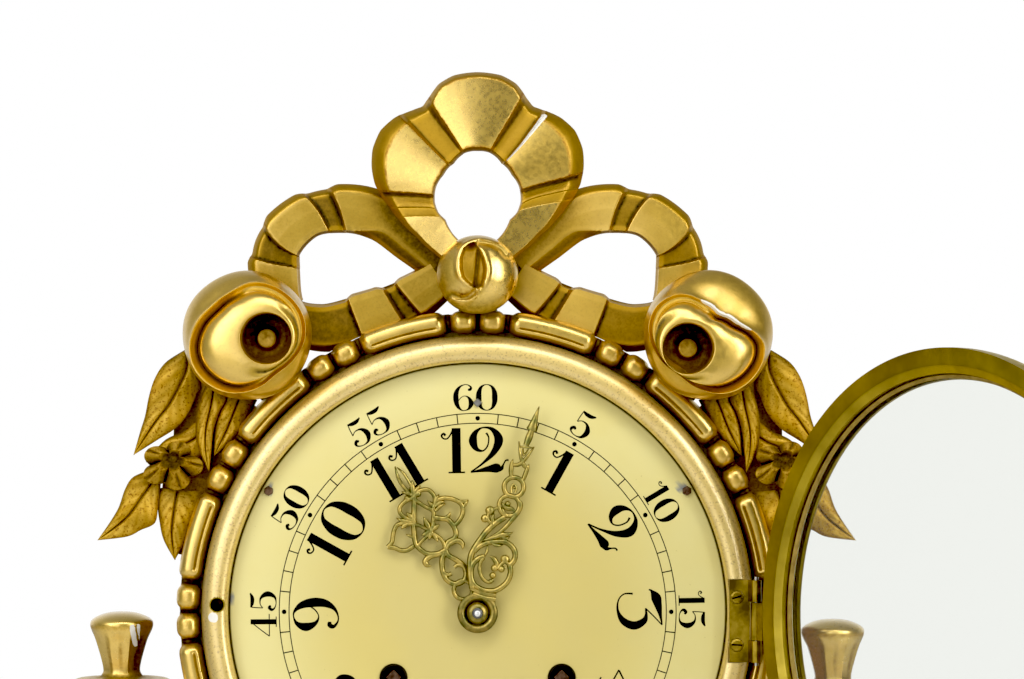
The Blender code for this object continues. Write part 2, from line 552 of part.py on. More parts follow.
def leaf(clock0, rise0, clock1, rise1, half, f0, f1, lift=3.0 * MM, thick=5.0 * MM, bend=0.0, stations=5):
    """Carved leaf from root to tip: a grooved rib between two swelling halves."""
    a = Vector(((BEAD_OUT + rise0) * sin(clock0), (BEAD_OUT + rise0) * cos(clock0)))
    b = Vector(((BEAD_OUT + rise1) * sin(clock1), (BEAD_OUT + rise1) * cos(clock1)))
    run = b - a
    side = Vector((run.y, -run.x)).normalized()
    sections = []
    for i in range(stations):
        u = i / (stations - 1)
        p = a + run * u + side * bend * sin(pi * u)
        w = half * max(0.07, (sin(pi * min(0.98, 0.16 + 0.82 * u))) ** 0.85)
        f = f0 + (f1 - f0) * u + lift * sin(pi * u) * 0.6
        s = w / half
        ring = []
        for v, d in ((-1, -0.35), (-0.5, 0.9), (0, 0.15), (0.5, 0.9), (1, -0.35)):
            ring.append(at(p.x + side.x * v * w, f + d * lift * s, p.y + side.y * v * w))
        ring.append(at(p.x, f - thick * (0.5 + 0.5 * s), p.y))
        sections.append(ring)
    return loft(sections)


def flower_bm(x, z, radius, f, height, petals=5):
    """Small open flower with lobed petals and a sunk eye."""
    count = 3 * petals
    rings = ((0.75, 0.0, 0.1), (0.98, 0.4, 0.16), (0.7, 0.9, 0.12))
    sections = [[at(x + radius * r * (1 + lobe * cos(petals * tau * k / count)) * sin(tau * k / count),
                    f + height * h,
                    z + radius * r * (1 + lobe * cos(petals * tau * k / count)) * cos(tau * k / count))
                 for k in range(count)] for r, h, lobe in rings]
    return loft(sections + [[at(x, f + 0.55 * height, z)]])


# Leaf sprays below the roses: clock and rise of root and tip, half width, depths below the band
SPRAY = ((48.5, 29.0, 65.3, 27.0, 7.9, 15.6, 11.0, 0.5), (49.5, 15.5, 61.8, 1.8, 4.8, 15.8, 12.0, 0.0),
         (48.0, 6.8, 60.0, 2.0, 3.9, 16.2, 15.0, 0.0), (66.3, 15.0, 78.9, 29.3, 6.6, 14.6, 10.5, 1.0),
         (67.0, 8.2, 79.8, 1.6, 5.6, 15.4, 14.0, 0.0))
# Ground behind the leaves, which fills the spray up to the beads: clock and rise of its outer edge
SPRAY_GROUND = ((47.6, 28.0), (52.0, 26.5), (55.4, 23.5), (58.5, 20.5), (61.5, 17.0), (64.5, 14.5), (68.0, 14.5),
                (71.0, 12.0), (74.0, 8.5), (77.0, 4.8), (79.4, 1.8))
SPRAY_MM = BEAD_OUT / 109.3        # the spray grows with the ring it lies on
for side, tag in ((-1, "left"), (1, "right")):
    spray = None
    for c0, r0, c1, r1, half, d0, d1, bend in SPRAY:
        bm = leaf(side * radians(c0), r0 * SPRAY_MM, side * radians(c1), r1 * SPRAY_MM, half * SPRAY_MM,
                  BAND_F - d0 * MM, BAND_F - d1 * MM, bend=bend * SPRAY_MM)
        spray = join(spray, bm) if spray else solid("leaf_spray_" + tag, bm, GILT)
    flower_r = BEAD_OUT + 12.5 * SPRAY_MM
    fx, fz = side * flower_r * sin(radians(64.5)), flower_r * cos(radians(64.5))
    join(spray, flower_bm(fx, fz, 10.2 * SPRAY_MM, BAND_F - 19 * MM, 14 * MM))
    join(spray, loft([[ring_at(BEAD_OUT + u * SPRAY_MM, side * radians(c), BAND_F - d * MM)
                       for u, d in ((-2, 20), (rise, 20), (rise - 0.8, 15.5), (-2, 15.5))] for c, rise in SPRAY_GROUND]))
    cut(spray, rod(BEAD_OUT + GAP, BEAD_BACK_F - 30 * MM, BAND_F + 20 * MM, steps=48))
    join(spray, tenon(side * radians(56), 12 * MM, BEAD_OUT + 8 * MM, TENON_F0, TENON_F1))

# Covered urns on scrolled brackets
URN_X = BEAD_OUT + 22.1 * MM
URN_F = BEAD_BACK_F - 20.8 * MM
URN_TOP = -1.7 * MM
URN_PROFILE = ((0.0, 0.0), (8.0, 1.3), (11.7, 4.0), (10.6, 8.0), (7.4, 19.5), (7.0, 22.6), (8.4, 24.2), (17.3, 24.9),
               (20.0, 31.0), (18.6, 44.0), (12.5, 60.0), (5.4, 74.5), (7.6, 77.5), (6.4, 80.0), (13.6, 86.5),
               (13.6, 91.0))
SCROLL = ((89.0, -54.6, 4.6), (95.0, -73.0, 4.8), (107.0, -97.0, 5.0), (127.0, -109.0, 5.2), (142.0, -115.0, 5.0),
          (147.0, -127.0, 4.4), (139.0, -136.0, 3.8), (129.0, -131.5, 3.2), (130.5, -123.0, 2.8))
SCROLL_STEPS = 17
SCROLL_FOOT = -93.0 * MM           # the scroll's points are drawn for an urn standing at this height
for side, tag in ((-1, "left"), (1, "right")):
    top = URN_TOP - (URN_RIGHT_DROP if side > 0 else 0.0)
    solid("urn_" + tag, turned([(r * MM, top - h * URN_H / 91.0) for r, h in URN_PROFILE], 12,
                               plumb_axis(side * URN_X, URN_F)), GILT)
    foot = top - URN_H - GAP
    grow = DRUM_R / (103.0 * MM)
    bracket = solid("urn_bracket_" + tag, turned(
        [(14.6 * MM, foot), (14.6 * MM, foot - 2 * MM), (11.0 * MM, foot - 4.5 * MM), (8 * MM, foot - 15 * MM)], 12,
        plumb_axis(side * URN_X, URN_F)), GILT)
    samples = spline(SCROLL, SCROLL_STEPS)
    sections = []
    for i, (x, z, half) in enumerate(samples):
        ahead, behind = samples[min(i + 1, SCROLL_STEPS - 1)], samples[max(i - 1, 0)]
        dx, dz = ahead[0] - behind[0], ahead[1] - behind[1]
        long = hypot(dx, dz)
        follow = min(1.0, 2.4 * i / SCROLL_STEPS)
        px, pz = x * MM + (URN_X - 131.5 * MM) * follow, z * MM + (foot - SCROLL_FOOT) * follow
        if i == 0:
            px, pz = x * grow * MM, z * grow * MM
        sections.append([at(side * (px - dz / long * d * half * MM), URN_F + w * MM * 9, pz + dx / long * d * half * MM)
                         for d, w in ((1, -0.7), (1, 0.7), (0.1, 1), (-1, 0.7), (-1, -0.7), (0.1, -1))])
    join(bracket, loft(sections))
    cut(bracket, rod(DRUM_R + GAP, 0, RING_BACK_F, steps=48))

# Apron: two leaf festoons meeting under a rose, with a husk drop below
apron = None
for side in (-1, 1):
    for c0, r0, c1, r1, half in ((126, 6.0, 152, 9.0, 6.4), (148, 8.0, 178.6, 13.0, 7.4)):
        bm = leaf(side * radians(c0), r0 * MM, side * radians(c1), r1 * MM, half * MM, BAND_F - 14.6 * MM,
                  BAND_F - 14.0 * MM)
        apron = join(apron, bm) if apron else solid("apron", bm, GILT)
    join(apron, leaf(side * radians(178.4), 25 * MM, side * radians(170), 62 * MM, 5.6 * MM, BAND_F - 15 * MM,
                     BAND_F - 15 * MM, bend=-side * 3 * MM))
    join(apron, tenon(side * radians(150), 12 * MM, BEAD_OUT + 8 * MM, TENON_F0, TENON_F1))
join(apron, leaf(pi, 9 * MM, pi, 82 * MM, 9.0 * MM, BAND_F - 16.5 * MM, BAND_F - 14 * MM, stations=7))
join(apron, turned([(0, -BEAD_OUT - 93 * MM), (4.2 * MM, -BEAD_OUT - 90 * MM), (5.4 * MM, -BEAD_OUT - 85.6 * MM),
                    (3.6 * MM, -BEAD_OUT - 81 * MM), (0, -BEAD_OUT - 79 * MM)], 10, plumb_axis(0, BAND_F - 16 * MM)))
join(apron, tenon(pi, 16 * MM, BEAD_OUT + 16 * MM, TENON_F0, TENON_F1))
cut(apron, rod(BEAD_OUT + GAP, BEAD_BACK_F - GAP, BAND_F + 20 * MM, steps=48))
APRON_ROSE_R = 0.76 * ROSE_R
rose("apron_rose", pi, BEAD_OUT + 1.03 * APRON_ROSE_R, APRON_ROSE_R, BAND_F - 11.6 * MM, 0.72 * ROSE_H, 0.0, 0.0, petals=12)

# Hands: pierced cast plates, drawn pointing to twelve and turned to the time shown
CANNON_R = 2.6 * MM
ARBOR_R = 1.45 * MM
HOUR_F = DIAL_F + 2.3 * MM
MINUTE_F = DIAL_F + 5.0 * MM
HAND_T = 1.2 * MM
HOUR_SHAPE = ((6.3, 0.0), (5.6, 3.6), (4.2, 6.2), (3.9, 9.6), (2.0, 13.2), (4.6, 17.0), (4.4, 20.6), (2.6, 22.6),
              (7.6, 22.2), (9.4, 24.6), (7.2, 27.6), (4.6, 27.6), (7.0, 31.0), (13.4, 31.8), (17.2, 35.4),
              (13.6, 39.4), (8.4, 39.0), (7.2, 43.6), (3.6, 46.6), (1.7, 48.4), (2.3, 51.5), (1.1, 55.5), (0.25, 60.2))
HOUR_HOLES = ((0.0, 9.7, 2.3, 1.0), (0.0, 18.2, 2.4, 1.35), (9.0, 35.4, 2.9, 0.9), (-9.0, 35.4, 2.9, 0.9),
              (3.2, 42.2, 2.0, 1.2), (-3.2, 42.2, 2.0, 1.2))
MINUTE_SHAPE = ((7.4, 0.0), (6.6, 4.0), (3.2, 7.2), (3.6, 9.6), (7.4, 12.6), (8.0, 17.0), (6.6, 22.0), (3.2, 25.6),
                (5.6, 29.0), (6.6, 33.6), (5.0, 38.0), (2.4, 39.4), (4.0, 41.6), (2.4, 44.4), (4.1, 47.4), (2.2, 50.6),
                (2.9, 53.2), (2.0, 56.4), (3.1, 60.4), (1.3, 61.0), (1.2, 66.0), (0.25, 76.9))
MINUTE_HOLES = ((-2.6, 16.4, 3.1, 1.35), (3.4, 17.4, 2.0, 1.5), (0.0, 32.6, 2.6, 1.4), (0.3, 41.6, 2.0, 1.0),
                (0.0, 47.4, 2.1, 1.0))


def hand(name, shape, holes, length, angle, f, bore):
    """Pierced hand from half widths along its length, turned clockwise by angle."""
    k = length / (shape[-1][1] * MM)
    c, s = cos(angle), sin(angle)

    def turn(points):
        return [(x * c + z * s, z * c - x * s) for x, z in points]

    hub = shape[0][0] * MM
    right = [(w * MM, h * MM * k) for w, h in shape]
    back = [(hub * sin(a), hub * cos(a)) for a in (radians(d) for d in range(115, 260, 26))]
    outline = right[::-1] + back + [(-x, z) for x, z in right]
    piercings = [turn(circle(r * MM, x * MM, h * MM * k, 7, stretch=tall)) for x, h, r, tall in holes]
    return solid(name, pierced(turn(outline), piercings + [turn(circle(bore, steps=10))], f, f + HAND_T), BRONZE)


hand("hour_hand", HOUR_SHAPE, HOUR_HOLES, HOUR_HAND_L, HOUR_ANGLE, HOUR_F, CANNON_R + GAP)
hand("minute_hand", MINUTE_SHAPE, MINUTE_HOLES, MINUTE_HAND_L, MINUTE_ANGLE, MINUTE_F, ARBOR_R + GAP)
COLLET_F = MINUTE_F + HAND_T + GAP
solid("hand_collet", turned_ring([(ARBOR_R + GAP, COLLET_F), (4.0 * MM, COLLET_F), (3.4 * MM, COLLET_F + 1.4 * MM),
                                  (ARBOR_R + GAP, COLLET_F + 1.9 * MM)], 10, dial_axis()), BRONZE)

# Train layout: wheel centres from their meshing distances
M_BARREL, M_INTER, M_CENTRE, M_THIRD, M_STRIKE = 2.05 * MM, 1.33 * MM, 1.32 * MM, 1.12 * MM, 1.3 * MM
M_CANNON = 1.35 * MM
BARREL_N, INTER_PN, INTER_N, CENTRE_PN, CENTRE_N, THIRD_PN, THIRD_N, ESCAPE_PN = 24, 6, 24, 6, 24, 6, 24, 6
PIN_PN, PIN_N = 6, 24
CANNON_N, MINUTE_N, MINUTE_PN, HOUR_N = 8, 24, 6, 24


def mesh_distance(module, n1, n2):
    return 0.5 * module * (n1 + n2)


def meet(ax, az, ra, bx, bz, rb, side):
    """Point at distance ra from a and rb from b, on the chosen side."""
    dx, dz = bx - ax, bz - az
    d = hypot(dx, dz)
    u = (d * d + ra * ra - rb * rb) / (2 * d)
    h = side * sqrt(max(0.0, ra * ra - u * u))
    return ax + (dx * u - dz * h) / d, az + (dz * u + dx * h) / d


def bearing(x0, z0, x1, z1):
    """Clockwise angle of the line from one centre to another."""
    return atan2(x1 - x0, z1 - z0)


inter_x, inter_z = meet(WIND_X, WIND_Z, mesh_distance(M_BARREL, BARREL_N, INTER_PN), 0, 0,
                        mesh_distance(M_INTER, INTER_N, CENTRE_PN), 1)
third_d = mesh_distance(M_CENTRE, CENTRE_N, THIRD_PN)
third_x, third_z = third_d * sin(radians(40)), third_d * cos(radians(40))
escape_d = mesh_distance(M_THIRD, THIRD_N, ESCAPE_PN)
escape_x, escape_z = 0.0, third_z + sqrt(escape_d ** 2 - third_x ** 2)
ESCAPE_R = 12.0 * MM
ANCHOR_D = 17.0 * MM
anchor_z = escape_z + ANCHOR_D
pinw_d = mesh_distance(M_BARREL, BARREL_N, PIN_PN)
pinw_x, pinw_z = -WIND_X + pinw_d * sin(radians(-15)), WIND_Z + pinw_d * cos(radians(-15))
stud_d = mesh_distance(M_CANNON, CANNON_N, MINUTE_N)
STUD_CLOCK = radians(172)
stud_x, stud_z = stud_d * sin(STUD_CLOCK), stud_d * cos(STUD_CLOCK)
M_HOUR = 2 * stud_d / (MINUTE_PN + HOUR_N)

# Plates: the back one carries the pillars and the pendulum cock, the front one the ears and the minute stud
PLATE_X = 57.0 * MM
PLATE_Z0, PLATE_Z1 = -52.0 * MM, 55.0 * MM
WIND_R = 3.2 * MM
plate_outline = [(-PLATE_X, PLATE_Z0), (PLATE_X, PLATE_Z0), (PLATE_X, PLATE_Z1 - 14 * MM),
                 (PLATE_X - 16 * MM, PLATE_Z1), (16 * MM - PLATE_X, PLATE_Z1), (-PLATE_X, PLATE_Z1 - 14 * MM)]
EAR_H = 8.0 * MM
ear = sqrt((DRUM_IN * cos(pi / ROUND) - GAP) ** 2 - EAR_H ** 2)
front_outline = [(-PLATE_X, PLATE_Z0), (PLATE_X, PLATE_Z0), (PLATE_X, -EAR_H), (ear, -EAR_H), (ear, EAR_H),
                 (PLATE_X, EAR_H), (PLATE_X, PLATE_Z1 - 14 * MM), (PLATE_X - 16 * MM, PLATE_Z1),
                 (16 * MM - PLATE_X, PLATE_Z1), (-PLATE_X, PLATE_Z1 - 14 * MM), (-PLATE_X, EAR_H), (-ear, EAR_H),
                 (-ear, -EAR_H), (-PLATE_X, -EAR_H)]
wind_holes = [circle(WIND_R + 2 * GAP, s * WIND_X, WIND_Z, 8) for s in (-1, 1)]
front_plate = solid("front_plate", pierced(front_outline, wind_holes + [circle(ARBOR_R + GAP, steps=10)],
                                           FRONT_PLATE_F, PLATE_FACE_F), BRASS)
STUD_R = 1.3 * MM
join(front_plate, rod(STUD_R, PLATE_FACE_F - 1 * MM, PLATE_FACE_F + 8.4 * MM, stud_x, stud_z, 8))
CRUTCH_HOLE = 2.4 * MM
back_plate = solid("back_plate", pierced(plate_outline, wind_holes + [circle(CRUTCH_HOLE, 0, anchor_z, 8)],
                                         BACK_PLATE_F, BACK_PLATE_F + PLATE_T), BRASS)
pillar_spots = ((-PLATE_X + 5 * MM, PLATE_Z0 + 5 * MM), (PLATE_X - 5 * MM, PLATE_Z0 + 5 * MM),
                (-PLATE_X + 7 * MM, PLATE_Z1 - 17 * MM), (PLATE_X - 7 * MM, PLATE_Z1 - 17 * MM))
for x, z in pillar_spots:
    join(back_plate, rod(3.0 * MM, BACK_PLATE_F + 1 * MM, FRONT_PLATE_F - GAP, x, z, 6))
COCK_Z = anchor_z + 4.5 * MM
PENDULUM_F = BACK_PLATE_F - 10.5 * MM
join(back_plate, box(-4 * MM, 4 * MM, PENDULUM_F - 3 * MM, BACK_PLATE_F + 1 * MM, COCK_Z, COCK_Z + 5 * MM))

INNER_F0 = BACK_PLATE_F + PLATE_T + GAP
INNER_F1 = FRONT_PLATE_F - GAP
BARREL_F = INNER_F0 + 4 * MM
BARREL_L = 16.0 * MM
RIM_T = 2.4 * MM
STRIKE_RIM_F = BARREL_F + BARREL_L - RIM_T


def wheel(name, mat, arbor_r, f0, f1, x, z, *gears):
    """Toothed wheels and pinions fused on one arbor."""
    ob = solid(name, rod(arbor_r, f0, f1, x, z, 6), mat)
    for outline, g0, g1 in gears:
        join(ob, plate(outline, g0, g1))
    return ob


def bored(name, r, x, z, *gears):
    """Wheels and pipes of one piece with a bore right through."""
    ob = None
    for outline, f0, f1 in gears:
        bm = plate(outline, f0, f1)
        ob = join(ob, bm) if ob else solid(name, bm, BRASS)
    back, front = min(g[1] for g in gears), max(g[2] for g in gears)
    return cut(ob, rod(r / cos(pi / 9), back - 1 * MM, front + 1 * MM, x, z, 9))


def barrel(name, x, rim_f, tooth_at):
    """Spring barrel turning free on its winding arbor, its toothed rim at one end."""
    rim = gear(BARREL_N, M_BARREL, rim_f, rim_f + RIM_T, x, WIND_Z, tooth_at)
    drum = circle(0.5 * M_BARREL * BARREL_N - 3.2 * MM, x, WIND_Z, 18)
    return bored(name, WIND_R + GAP, x, WIND_Z, (drum, BARREL_F + 0.8 * MM, BARREL_F + BARREL_L - 0.8 * MM), rim)


barrel("time_barrel", WIND_X, BARREL_F, bearing(WIND_X, WIND_Z, inter_x, inter_z))
barrel("strike_barrel", -WIND_X, STRIKE_RIM_F, bearing(-WIND_X, WIND_Z, pinw_x, pinw_z))
for name, x in (("time_winding_arbor", WIND_X), ("strike_winding_arbor", -WIND_X)):
    arbor = solid(name, rod(WIND_R, BACK_PLATE_F - 1 * MM, PLATE_FACE_F + 6 * MM, x, WIND_Z, 10), STEEL)
    join(arbor, turned([(2.9 * MM, PLATE_FACE_F + 5 * MM), (2.9 * MM, DIAL_F - 1.5 * MM)], 4, dial_axis(x, WIND_Z)))

INTER_F = INNER_F1 - 9.8 * MM
CENTRE_F = INNER_F1 - 5.0 * MM
THIRD_F = INNER_F1 - 15.5 * MM
ESCAPE_F = INNER_F1 - 9.5 * MM
to_inter = bearing(0, 0, inter_x, inter_z)
wheel("intermediate_wheel", BRASS, 1.5 * MM, INNER_F0, INNER_F1, inter_x, inter_z,
      gear(INTER_PN, M_BARREL, BARREL_F - 0.6 * MM, BARREL_F + 3.0 * MM, inter_x, inter_z,
           bearing(inter_x, inter_z, WIND_X, WIND_Z) + pi / INTER_PN),
      gear(INTER_N, M_INTER, INTER_F, INTER_F + 1.5 * MM, inter_x, inter_z, bearing(inter_x, inter_z, 0, 0)))
CENTRE_TIP = COLLET_F + 2.7 * MM
wheel("centre_wheel", BRASS, ARBOR_R, INNER_F0, CENTRE_TIP, 0, 0,
      gear(CENTRE_PN, M_INTER, INTER_F - 1 * MM, INTER_F + 2.5 * MM, 0, 0, to_inter + pi / CENTRE_PN),
      gear(CENTRE_N, M_CENTRE, CENTRE_F, CENTRE_F + 1.5 * MM, 0, 0, bearing(0, 0, third_x, third_z)))
wheel("third_wheel", BRASS, 1.3 * MM, INNER_F0, INNER_F1, third_x, third_z,
      gear(THIRD_PN, M_CENTRE, CENTRE_F - 0.8 * MM, CENTRE_F + 2.3 * MM, third_x, third_z,
           bearing(third_x, third_z, 0, 0) + pi / THIRD_PN),
      gear(THIRD_N, M_THIRD, THIRD_F, THIRD_F + 1.2 * MM, third_x, third_z,
           bearing(third_x, third_z, escape_x, escape_z)))
saw = []
SAW_N = 16
for k in range(SAW_N):
    a = tau * k / SAW_N
    saw += [(escape_x + ESCAPE_R * sin(a), escape_z + ESCAPE_R * cos(a)),
            (escape_x + 0.8 * ESCAPE_R * sin(a + 0.06), escape_z + 0.8 * ESCAPE_R * cos(a + 0.06))]
wheel("escape_wheel", BRASS, 1.2 * MM, INNER_F0, INNER_F1, escape_x, escape_z,
      gear(ESCAPE_PN, M_THIRD, THIRD_F - 0.8 * MM, THIRD_F + 2.0 * MM, escape_x, escape_z,
           bearing(escape_x, escape_z, third_x, third_z) + pi / ESCAPE_PN),
      (saw, ESCAPE_F, ESCAPE_F + 1.2 * MM))
wheel("strike_pin_wheel", BRASS, 1.5 * MM, INNER_F0, INNER_F1, pinw_x, pinw_z,
      gear(PIN_PN, M_BARREL, STRIKE_RIM_F - 0.6 * MM, STRIKE_RIM_F + 3.0 * MM, pinw_x, pinw_z,
           bearing(pinw_x, pinw_z, -WIND_X, WIND_Z) + pi / PIN_PN),
      gear(PIN_N, M_STRIKE, INTER_F, INTER_F + 1.5 * MM, pinw_x, pinw_z))
# Motion work between the front plate and the dial
MOTION_F = PLATE_FACE_F + 1.2 * MM
HOUR_WHEEL_F = MOTION_F + 4.2 * MM
bored("cannon_pinion", ARBOR_R + GAP, 0, 0,
      gear(CANNON_N, M_CANNON, MOTION_F - 0.6 * MM, MOTION_F + 2.6 * MM, 0, 0, STUD_CLOCK),
      (circle(CANNON_R, steps=10), MOTION_F + 1.6 * MM, MINUTE_F - GAP))
bored("minute_wheel", STUD_R + GAP, stud_x, stud_z,
      gear(MINUTE_PN, M_HOUR, MOTION_F + 1.2 * MM, MOTION_F + 6.4 * MM, stud_x, stud_z,
           STUD_CLOCK + pi + pi / MINUTE_PN),
      gear(MINUTE_N, M_CANNON, MOTION_F, MOTION_F + 1.8 * MM, stud_x, stud_z, STUD_CLOCK + pi + pi / MINUTE_N))
bored("hour_wheel", CANNON_R + GAP, 0, 0,
      gear(HOUR_N, M_HOUR, HOUR_WHEEL_F, HOUR_WHEEL_F + 1.6 * MM, 0, 0, STUD_CLOCK),
      (circle(HOUR_PIPE_R, steps=10), HOUR_WHEEL_F + 0.8 * MM, HOUR_F - GAP))

# Anchor with crutch, pendulum
anchor = solid("anchor", rod(1.3 * MM, BACK_PLATE_F - 7.6 * MM, INNER_F1, 0, anchor_z, 8), STEEL)
pallet = ((10.9, -9.2), (6.5, -3.0), (0.0, -1.9), (-6.5, -3.0), (-10.9, -9.2), (-12.7, -8.2), (-8.2, 0.6), (0.0, 3.0),
          (8.2, 0.6), (12.7, -8.2))
join(anchor, plate([(x * MM, anchor_z + z * MM) for x, z in pallet], ESCAPE_F - 0.3 * MM, ESCAPE_F + 1.5 * MM))
ROD_R = 1.0 * MM
CRUTCH_Z = anchor_z - 30 * MM
crutch_outline = [(-2.4 * MM, anchor_z + 2.6 * MM), (2.4 * MM, anchor_z + 2.6 * MM), (1.2 * MM, CRUTCH_Z),
                  (3.2 * MM, CRUTCH_Z - 2 * MM), (3.2 * MM, CRUTCH_Z - 6 * MM), (-3.2 * MM, CRUTCH_Z - 6 * MM),
                  (-3.2 * MM, CRUTCH_Z - 2 * MM), (-1.2 * MM, CRUTCH_Z)]
crutch_f = BACK_PLATE_F - 7.6 * MM
join(anchor, plate(crutch_outline, crutch_f, crutch_f + 1.4 * MM))
for s in (-1, 1):
    join(anchor, box(s * 2.2 * MM - 0.7 * MM, s * 2.2 * MM + 0.7 * MM, PENDULUM_F - 1.5 * MM, crutch_f + 0.7 * MM,
                     CRUTCH_Z - 5.5 * MM, CRUTCH_Z - 2.5 * MM))
BOB_Z = anchor_z - 92 * MM
BOB_R = 13.5 * MM
pendulum = solid("pendulum_rod", turned([(ROD_R, BOB_Z - BOB_R - 5 * MM), (ROD_R, anchor_z - 8 * MM)], 8,
                                        plumb_axis(0, PENDULUM_F)), STEEL)
join(pendulum, box(-3 * MM, 3 * MM, PENDULUM_F - 0.3 * MM, PENDULUM_F + 0.3 * MM, anchor_z - 9 * MM, COCK_Z - GAP))
bob = solid("pendulum_bob", turned([(BOB_R - 3 * MM, PENDULUM_F - 3.6 * MM), (BOB_R, PENDULUM_F),
                                    (BOB_R - 3 * MM, PENDULUM_F + 3.6 * MM)], 16, dial_axis(0, BOB_Z)), BRASS)
cut(bob, turned([(ROD_R + GAP, BOB_Z - BOB_R - 4 * MM), (ROD_R + GAP, BOB_Z + BOB_R + 4 * MM)], 8,
                plumb_axis(0, PENDULUM_F)))

# Hammer and bell behind the back plate
BELL_X, BELL_Z, BELL_R = -38.0 * MM, 26.0 * MM, 20.0 * MM
BELL_F0 = BACKBOARD_T + 2.4 * MM
bell_profile = [(0, BELL_F0), (0.5, BELL_F0), (0.88, BELL_F0 + 4.4 * MM), (1.0, BELL_F0 + 12 * MM),
                (0.93, BELL_F0 + 12 * MM), (0.79, BELL_F0 + 5 * MM), (0.42, BELL_F0 + 1.4 * MM),
                (0.14, BELL_F0 + 1.4 * MM), (0.14, BACK_PLATE_F - GAP), (0, BACK_PLATE_F - GAP)]
solid("bell", turned([(r * BELL_R, f) for r, f in bell_profile], 12, dial_axis(BELL_X, BELL_Z)), BRASS)
HAMMER_X, HAMMER_Z = -14.0 * MM, -16.0 * MM
HEAD_X, HEAD_Z = BELL_X + 0.82 * (BELL_R + 5.2 * MM), BELL_Z - 0.572 * (BELL_R + 5.2 * MM)
hammer_f = BACK_PLATE_F - 5 * MM
hammer = solid("hammer", rod(2.6 * MM, hammer_f - 2 * MM, BACK_PLATE_F - GAP, HAMMER_X, HAMMER_Z, 8), STEEL)
dx, dz = HEAD_X - HAMMER_X, HEAD_Z - HAMMER_Z
arm = hypot(dx, dz)
nx, nz = -dz / arm * 0.9 * MM, dx / arm * 0.9 * MM
join(hammer, plate([(HAMMER_X + nx, HAMMER_Z + nz), (HAMMER_X - nx, HAMMER_Z - nz), (HEAD_X - nx, HEAD_Z - nz),
                    (HEAD_X + nx, HEAD_Z + nz)], hammer_f - 1 * MM, hammer_f + 0.8 * MM))
join(hammer, rod(4.0 * MM, BELL_F0 + 7.6 * MM, BELL_F0 + 14 * MM, HEAD_X, HEAD_Z, 10))
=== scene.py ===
from functools import partial
from math import cos, pi, radians, sin, tau

import bmesh
import bpy
import numpy as np
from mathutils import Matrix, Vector


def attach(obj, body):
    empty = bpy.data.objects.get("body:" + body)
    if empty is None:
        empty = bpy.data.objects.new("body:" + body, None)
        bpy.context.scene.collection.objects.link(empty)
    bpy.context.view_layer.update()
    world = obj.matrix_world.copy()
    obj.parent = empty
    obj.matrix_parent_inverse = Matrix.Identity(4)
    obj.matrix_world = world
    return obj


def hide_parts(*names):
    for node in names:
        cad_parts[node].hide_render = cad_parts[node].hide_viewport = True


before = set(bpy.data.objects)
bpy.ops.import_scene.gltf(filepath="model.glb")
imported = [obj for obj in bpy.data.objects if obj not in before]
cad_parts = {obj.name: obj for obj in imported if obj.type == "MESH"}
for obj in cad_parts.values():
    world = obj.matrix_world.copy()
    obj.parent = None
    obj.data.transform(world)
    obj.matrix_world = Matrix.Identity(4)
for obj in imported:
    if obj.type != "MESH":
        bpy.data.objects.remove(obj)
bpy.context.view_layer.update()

bl_info = {
    "name": "Giltwood wall clock",
    "version": (1, 0, 0),
    "blender": (4, 5, 0),
    "location": "3D View > Sidebar > Clock",
    "description": "Carved gilding, painted dial, cast hands and glazed door for a small wall clock",
    "category": "Object",
}

MM = 0.001
# Surface tones per point; the first darkens: dust, and also painted shade in hollows, creases, undersides and on sides
# turned from the lamps.
TONES = ("grime", "shine", "chalk", "bole")

# Main sizes in millimetres, as in the solids: radii about the dial's axis, f = distance off the wall
DIAL_R, LEDGE_R, BEAD_IN, BEAD_OUT, DRUM_R = 90.2, 70.2, 100.4, 109.3, 103.0
DIAL_FLAT, DIAL_RIM_F, DIAL_F, BAND_F = 70.2, 86.5, 88.0, 94.0
BEAD_BACK_F, BEAD_FRONT_F, RING_BACK_F, LEDGE_F = 80.8, 89.6, 78.3, 85.4
HINGE_X, HINGE_F = 100.3, 95.6
LATCH_X, LATCH_Z = -93.8, 2.9
BEZEL_R, BEZEL_F, BEZEL_DEPTH, WALL_R, LIP_F, SIGHT_R = 95.8, 94.6, 11.8, 87.0, 102.4, 84.9
GLASS_R, GLASS_T = 86.7, 2.2
LOOP_Z, LOOP_F, RIBBON_T = 156.1, 89.4, 4.6
WIND_X, WIND_Z = 30.4, -23.8
URN_X, URN_F = 131.4, 60
ROSE_REACH, ROSE_CLOCK, ROSE_R, ROSE_F, SMALL_ROSE_R = 129.8, radians(39.7), 23.2, 84.4, 17.63
TENON_R, TENON_F = 101, 69.8
HOUR_HAND_F, MINUTE_HAND_F = 90.35, 93.05
TRACK_IN, TRACK_OUT, TRACK_DOT = 68.2, 71.75, 69.98
HOUR_FOOT, HOUR_TALL, MINUTE_FOOT, MINUTE_TALL = 50.2, 16.6, 72.7, 9.6
FLOOR_Z = -0.6  # metres
DOOR_OPEN = radians(127)

# Camera: level, square on to the dial, 1440 mm from the plane in which a pixel spans 0.36 mm
EYE_X, EYE_Z, EYE_DIST, PIXEL = 12.42, 98.46, 1440.0, 0.36


def linear(code):
    """Linear RGBA of an sRGB hex colour."""
    rgb = np.array([int(code[i:i + 2], 16) for i in (1, 3, 5)]) / 255
    return (*np.where(rgb <= 0.04045, rgb / 12.92, ((rgb + 0.055) / 1.055) ** 2.4), 1.0)


def colour(name, text, code):
    """A colour setting that starts from an sRGB hex value."""
    return bpy.props.FloatVectorProperty(name=name, description=text, subtype="COLOR", size=4, min=0, max=1,
                                         default=linear(code))


